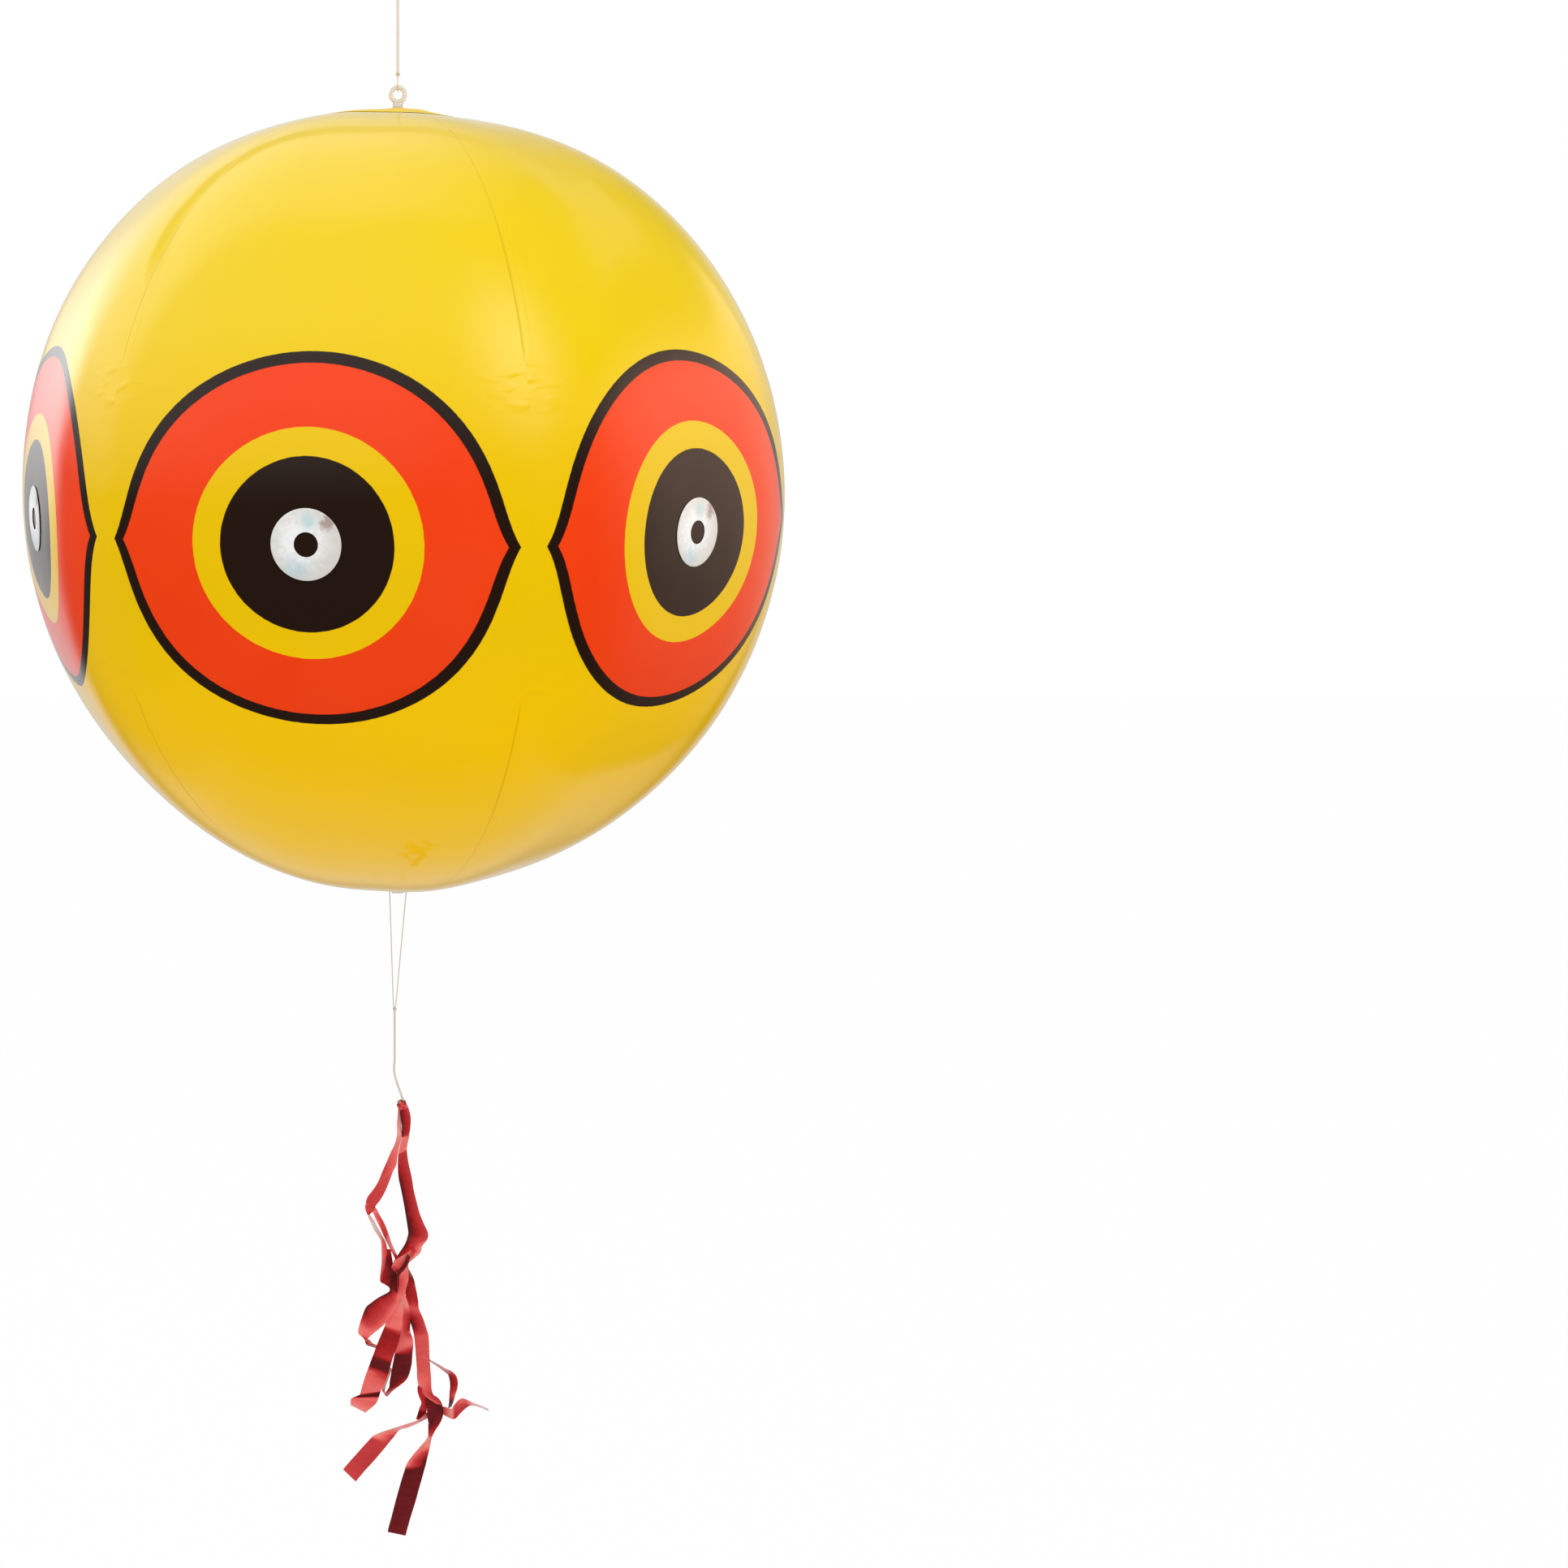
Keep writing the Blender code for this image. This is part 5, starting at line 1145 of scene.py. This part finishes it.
# The two knots, where the ribbon is folded over itself: several short traced folds each, the hindmost first
KNOT_EDGES = {
    "upper_wrap": [
        [(-9.3, -91, -6.5, -91.5, -1.5, 0.6, 0.45), (-8.9, -96.3, -5.6, -96.8, -2, 0.1, 0.2),
         (-9.3, -100.5, -4.7, -102, -2.5, 0.2, 0.1), (-10.7, -105.9, -2.8, -105.9, -2.8, 0.25, 0),
         (-12.1, -110, -2.1, -109.8, -3, 0.25, 0.05), (-9.8, -112.3, -2.1, -112.8, -3, 0.2, 0.1),
         (-7.2, -114.4, -2.3, -115.9, -2.8, 0.1, 0.15), (-7, -117.5, -3.3, -119.5, -2.5, 0.05, 0.3)],
        [(6, -90.2, 8.4, -92.7, -1, 0.15, 0.6), (3.7, -92.7, 5.6, -95.7, -2.2, 0.8, 0.5),
         (0.9, -94.3, 3, -99.2, -3.2, 0.9, 0.6), (-2.3, -96, 0.9, -101, -3.8, 0.75, 0.6),
         (-4.7, -98.2, -1.6, -103.4, -3.8, 0.8, 0.5), (-6.1, -101.6, -3.7, -105.1, -3.4, 0.65, 0.2)],
        [(3.2, -93.1, 4.6, -95.1, -3.6, 0.05, 0.1), (2.3, -96.8, 3.5, -99.3, -4.2, 0.05, 0.1),
         (0, -100.8, 1.4, -102.8, -4.2, 0.05, 0.1), (-2.6, -104.4, -0.9, -105.8, -4, 0.05, 0.2),
         (-2.8, -109.9, -1.6, -110.9, -3.8, 0.05, 0.2), (-2.8, -116.6, -1.9, -116.6, -3.4, 0.2, 0.5)],
        [(0.9, -102.5, 3.7, -100.5, -1.5, 0.95, 0.9), (-0.9, -105.6, 3.7, -104.6, -2.4, 0.8, 0.75),
         (-1.6, -109.9, 3.7, -109.4, -2.8, 0.55, 0.8), (-1.9, -114.9, 2.3, -115.4, -2.8, 0.6, 0.75),
         (-3.3, -121.6, 1.6, -121.6, -2.4, 0.8, 0.85)]],
    "lower_wrap": [
        [(9.2, -176.3, 11.8, -177.3, -1, 0.2, 0.5), (9.2, -179.6, 13.7, -180.6, -1.6, 0.3, 0.45),
         (10.4, -183.5, 14.2, -184.5, -2, 0.35, 0.3), (11.4, -186.4, 14.4, -188, -2.2, 0.35, 0.35),
         (10.4, -189.5, 14.4, -191.5, -2.2, 0.35, 0.4), (9.5, -192.7, 13.7, -193.7, -2, 0, 0.25),
         (8.3, -197, 11.4, -198, -1.6, 0.2, 0.5)],
        [(11.8, -177.3, 11.8, -180.4, -2, 0.75, 0.6), (15.1, -179.2, 14.2, -182.5, -2.8, 0.6, 0.75),
         (17.9, -180.8, 17, -184.4, -3.2, 0.35, 0.75), (20.8, -182.6, 20.3, -186.7, -3.2, 0.35, 0.7),
         (22.9, -185.6, 22.2, -188.7, -2.8, 0.4, 0.6), (23.9, -189.1, 22.7, -191.6, -2, 0.3, 0.1)],
        [(14.2, -183.5, 18.4, -185, -2, 0, 0.05), (14.4, -187.2, 23.6, -188.3, -2.6, 0.12, 0),
         (14.7, -191.2, 24.1, -191.7, -2.8, 0.15, 0), (14.9, -195.4, 23.7, -195.4, -2.6, 0.05, 0.15),
         (15.6, -199.2, 22, -199.7, -2.2, 0.05, 0.2), (15.9, -203.6, 19.5, -204.2, -1.6, 0.2, 0.35),
         (15.7, -208.1, 17.6, -208.6, -1, 0.7, 0.6)]],
}


def ribbon_material():
    """Red metallised film: painted light and shade follow the folds, from deep shade to a pink sheen and near-white
    highlights, with fine crinkles and creases.
    """
    material, tree, shader = new_material("Red metallised polyester ribbon", Metallic=0.12, Roughness=0.3,
                                          Coat_Weight=0.4, Coat_Roughness=0.06)
    known = {"tone": add(tree, "ShaderNodeAttribute", attribute_name="tone").outputs["Fac"],
             "place": add(tree, "ShaderNodeAttribute", attribute_name="ribbon_mm").outputs["Vector"]}
    work_out(tree, known, f"""
        crinkle = noise place 0.4 4, stray = crinkle - 0.5, tone = stray * 0.1 + tone, tone = tone * {1 / 1.15}
        fine = noise place 0.9 2, creased = bump fine 0.3 {0.03 * MM}
        dull = spread crinkle 0.3 0.7 0.18 0.3""")
    # Painted light: the stored value picks deep shade, red, a pink sheen or a near-white highlight, for the way each
    # fold faces the light and reflects it.
    ramp = add(tree, "ShaderNodeValToRGB", {0: known["tone"]})
    set_stops(ramp, [(spot, linear(code)) for spot, code in (
        (0, "#5E1215"), (0.12, "#78181C"), (0.2, "#AC181A"), (0.3, "#C4262A"), (0.4, "#CA383C"), (0.5, "#DA4444"),
        (0.6, "#F0625E"), (0.7, "#FF7A76"), (0.8, "#F79A90"), (0.9, "#F2B4AA"), (0.97, "#EAE2DE"))])
    known["colour"] = ramp.outputs[0]
    dress(tree, shader, known, Base_Color="colour", Roughness="dull", Normal="creased")
    return material


EYE_POINT = (CAMERA_SPOT - TIE) / MM


def folded_profile(shown, lean):
    """Across a ribbon: how far along its front each point lies, how deep behind it, and the share of its width.

    The front turns into the depth until half of the width fits, and the rest is folded in behind both edges.
    """
    wide = bpy.context.scene.balloon_tail.ribbon_width / MM
    # The share of the width that the front shows, the shares folded behind the two edges and the most of them,
    # then how deep behind the front they lie in mm, at their creases and further in
    face, share_a, share_b, most, clear, deep_a, deep_b = 0.55, 0.35, 0.65, 0.9, 0.25, 0.45, 0.9
    tilt = min(lean, math.sqrt(max(0, (face * wide) ** 2 - shown * shown)))
    chord = math.hypot(shown, tilt)
    spare = max(0, wide - chord)
    behind_a, behind_b = min(share_a * spare, most * chord), min(share_b * spare, most * chord)
    across = [(behind_a / chord * (1 - part / 3), clear + deep_a * (1 - part / 3)) for part in range(4)]
    across += [(part / 8, 0) for part in range(9)]
    across += [(1 - behind_b / chord * part / 4, clear + deep_b * part / 4) for part in range(5)]
    return [(spot, deep + tilt * (spot - 0.5), at / (len(across) - 1)) for at, (spot, deep) in enumerate(across)]


def foil_strip(name, strips, lean=1.0):
    """Folded foil strips whose fronts fill traced outlines, cut to one width, with painted light and shade on each
    point.
    """
    sizes = bpy.context.scene.balloon_tail
    narrowest, crease_across, crease_along, seed = 0.3, 1.5, 9, len(name)
    points, tones, flats, faces = [], [], [], []
    run = 0.0
    for rows in strips:
        first, before = len(points), None
        for ax, az, bx, bz, y, painted_light_a, painted_light_b in smooth_rows(rows, 1.0):
            a, b = np.array((ax, az)), np.array((bx, bz))
            middle = (a + b) / 2
            run += np.linalg.norm(middle - before) if before is not None else 0
            before = middle
            profile = folded_profile(max(narrowest, np.linalg.norm(b - a)), lean * sizes.ribbon_lean / MM)
            for share, deep, width_share in profile:
                spot = a + (b - a) * share
                rough = noise.noise(Vector((share * crease_across, run / crease_along, seed * 3.1)))
                depth = deep + sizes.crinkle / MM * rough
                # Moved along the sight line from the camera, so that the strip keeps its traced outline.
                flat_point = Vector((spot[0], y, spot[1]))
                sight = EYE_POINT - flat_point
                points.append(TIE + (flat_point - sight * (depth / -sight.y)) * MM)
                # Painted light and shade, blended across the strip from one edge's value to the other's.
                tones.append(painted_light_a + (painted_light_b - painted_light_a) * share)
                flats.append((width_share * sizes.ribbon_width / MM, run, seed * 31.0))
        faces += between_rows(first, len(points), len(profile))
    mesh = mesh_from(name, points, faces, close=False)
    store_painted_light(mesh, tones, flats)
    return mesh, run * MM


def store_painted_light(mesh, tones, flats):
    """Stores the painted light and shade of each point and its place on the flat ribbon."""
    store(mesh, "tone", tones)
    store(mesh, "ribbon_mm", flats)


TIE_HEIGHT = 4.4


def tie_band():
    """The ribbon wound round the string's end: an oval band whose creased turns lie one over the other."""
    middle, tilt = TIE / MM - Vector((0, 0, 4.6)), Matrix.Rotation(math.radians(10), 3, "Y")
    wide, deep, layer, turns, climb, crush, seed = 1.5, 1.3, 0.75, 2.4, 0.6, 0.35, 5
    # The range of painted light and shade that the band's creased turns take, cell by cell at random.
    low, high = 0.35, 0.85
    per_turn, columns = 72, 11
    points, tones, flats = [], [], []
    count = round(per_turn * turns)
    run = 0.0
    for step in range(count + 1):
        t = math.tau * step / per_turn
        grow = layer * step / per_turn
        run += math.tau * (wide + deep + 2 * grow) / 2 / per_turn
        for column in range(columns):
            share = column / (columns - 1) - 0.5
            pinch = 1 + crush * noise.noise(Vector((math.cos(t) * 1.4, math.sin(t) * 1.4, seed + share * 2.2)))
            edge = 1 - 0.22 * abs(2 * share) ** 3
            spot = Vector(((wide + grow) * pinch * edge * math.cos(t), (deep + grow) * pinch * edge * math.sin(t),
                           climb * (0.5 - step / count)
                           + TIE_HEIGHT * share * (1 + 0.12 * math.sin(2 * t + seed))))
            points.append((middle + tilt @ spot) * MM)
            tones.append(low + (high - low) * noise.cell(Vector((t * 1.15 + seed, share * 1.6 + t * 0.4, seed))))
            flats.append((share * TIE_HEIGHT + 40 * seed, run, seed))
    mesh = mesh_from("ribbon_tie_foil", points, between_rows(0, len(points), columns), close=False)
    store_painted_light(mesh, tones, flats)
    return mesh, run * MM


class BALLOON_OT_ribbons(bpy.types.Operator):
    """Lays the pleated foil ribbons, their two knots and the band round the string's end"""
    bl_idname = "balloon.ribbons"
    bl_label = "Ribbons"

    def execute(self, context):
        foil = ribbon_material()
        for node, rows in RIBBON_EDGES.items():
            self.lay(node, *foil_strip(node + "_foil", [rows]), foil, "folded" if "loop" in node else "hung")
        for node, strips in KNOT_EDGES.items():
            self.lay(node, *foil_strip(node + "_foil", strips, lean=0.25), foil, "folded")
        self.lay("ribbon_tie", *tie_band(), foil, "folded", TIE_HEIGHT * MM)
        return {"FINISHED"}

    def lay(self, node, mesh, length, foil, held, crushed=None):
        sizes = bpy.context.scene.balloon_tail
        piece = new_piece(mesh.name, mesh, foil)
        thickened(piece, sizes.foil, offset=0)
        settle(piece, "ribbons", "red_foil", node)
        crushed and crushed * length


# Panel and start


class BALLOON_PT_panel(bpy.types.Panel):
    """Lists the balloon's pieces"""
    bl_idname = "BALLOON_PT_panel"
    bl_label = "Bird scare balloon"
    bl_space_type = "VIEW_3D"
    bl_region_type = "UI"
    bl_category = "Balloon"

    def draw(self, context):
        for name in ("balloon_ball", "balloon_print", "balloon_tail", "balloon_stage"):
            group = getattr(context.scene, name)
            box = self.layout.box()
            for item in group.bl_rna.properties:
                if not item.is_readonly and item.identifier != "name":
                    box.prop(group, item.identifier)
        for kind in OPERATORS:
            self.layout.operator(kind.bl_idname)


GROUPS = {"balloon_ball": BalloonBall, "balloon_print": BalloonPrint, "balloon_tail": BalloonTail,
          "balloon_stage": BalloonStage}
OPERATORS = (BALLOON_OT_stage, BALLOON_OT_strings, BALLOON_OT_gores, BALLOON_OT_patches, BALLOON_OT_stickers,
             BALLOON_OT_fittings, BALLOON_OT_ribbons)


def register():
    for name, kind in GROUPS.items():
        bpy.utils.register_class(kind)
        setattr(bpy.types.Scene, name, PointerProperty(type=kind))
    for kind in (*OPERATORS, BALLOON_PT_panel):
        bpy.utils.register_class(kind)


def unregister():
    for kind in (BALLOON_PT_panel, *OPERATORS[::-1]):
        bpy.utils.unregister_class(kind)
    for name, kind in GROUPS.items():
        delattr(bpy.types.Scene, name)
        bpy.utils.unregister_class(kind)


def main():
    """Registers the add-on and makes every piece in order."""
    register()
    for kind in OPERATORS:
        group, name = kind.bl_idname.split(".")
        getattr(getattr(bpy.ops, group), name)()


if __name__ == "__main__":
    main()
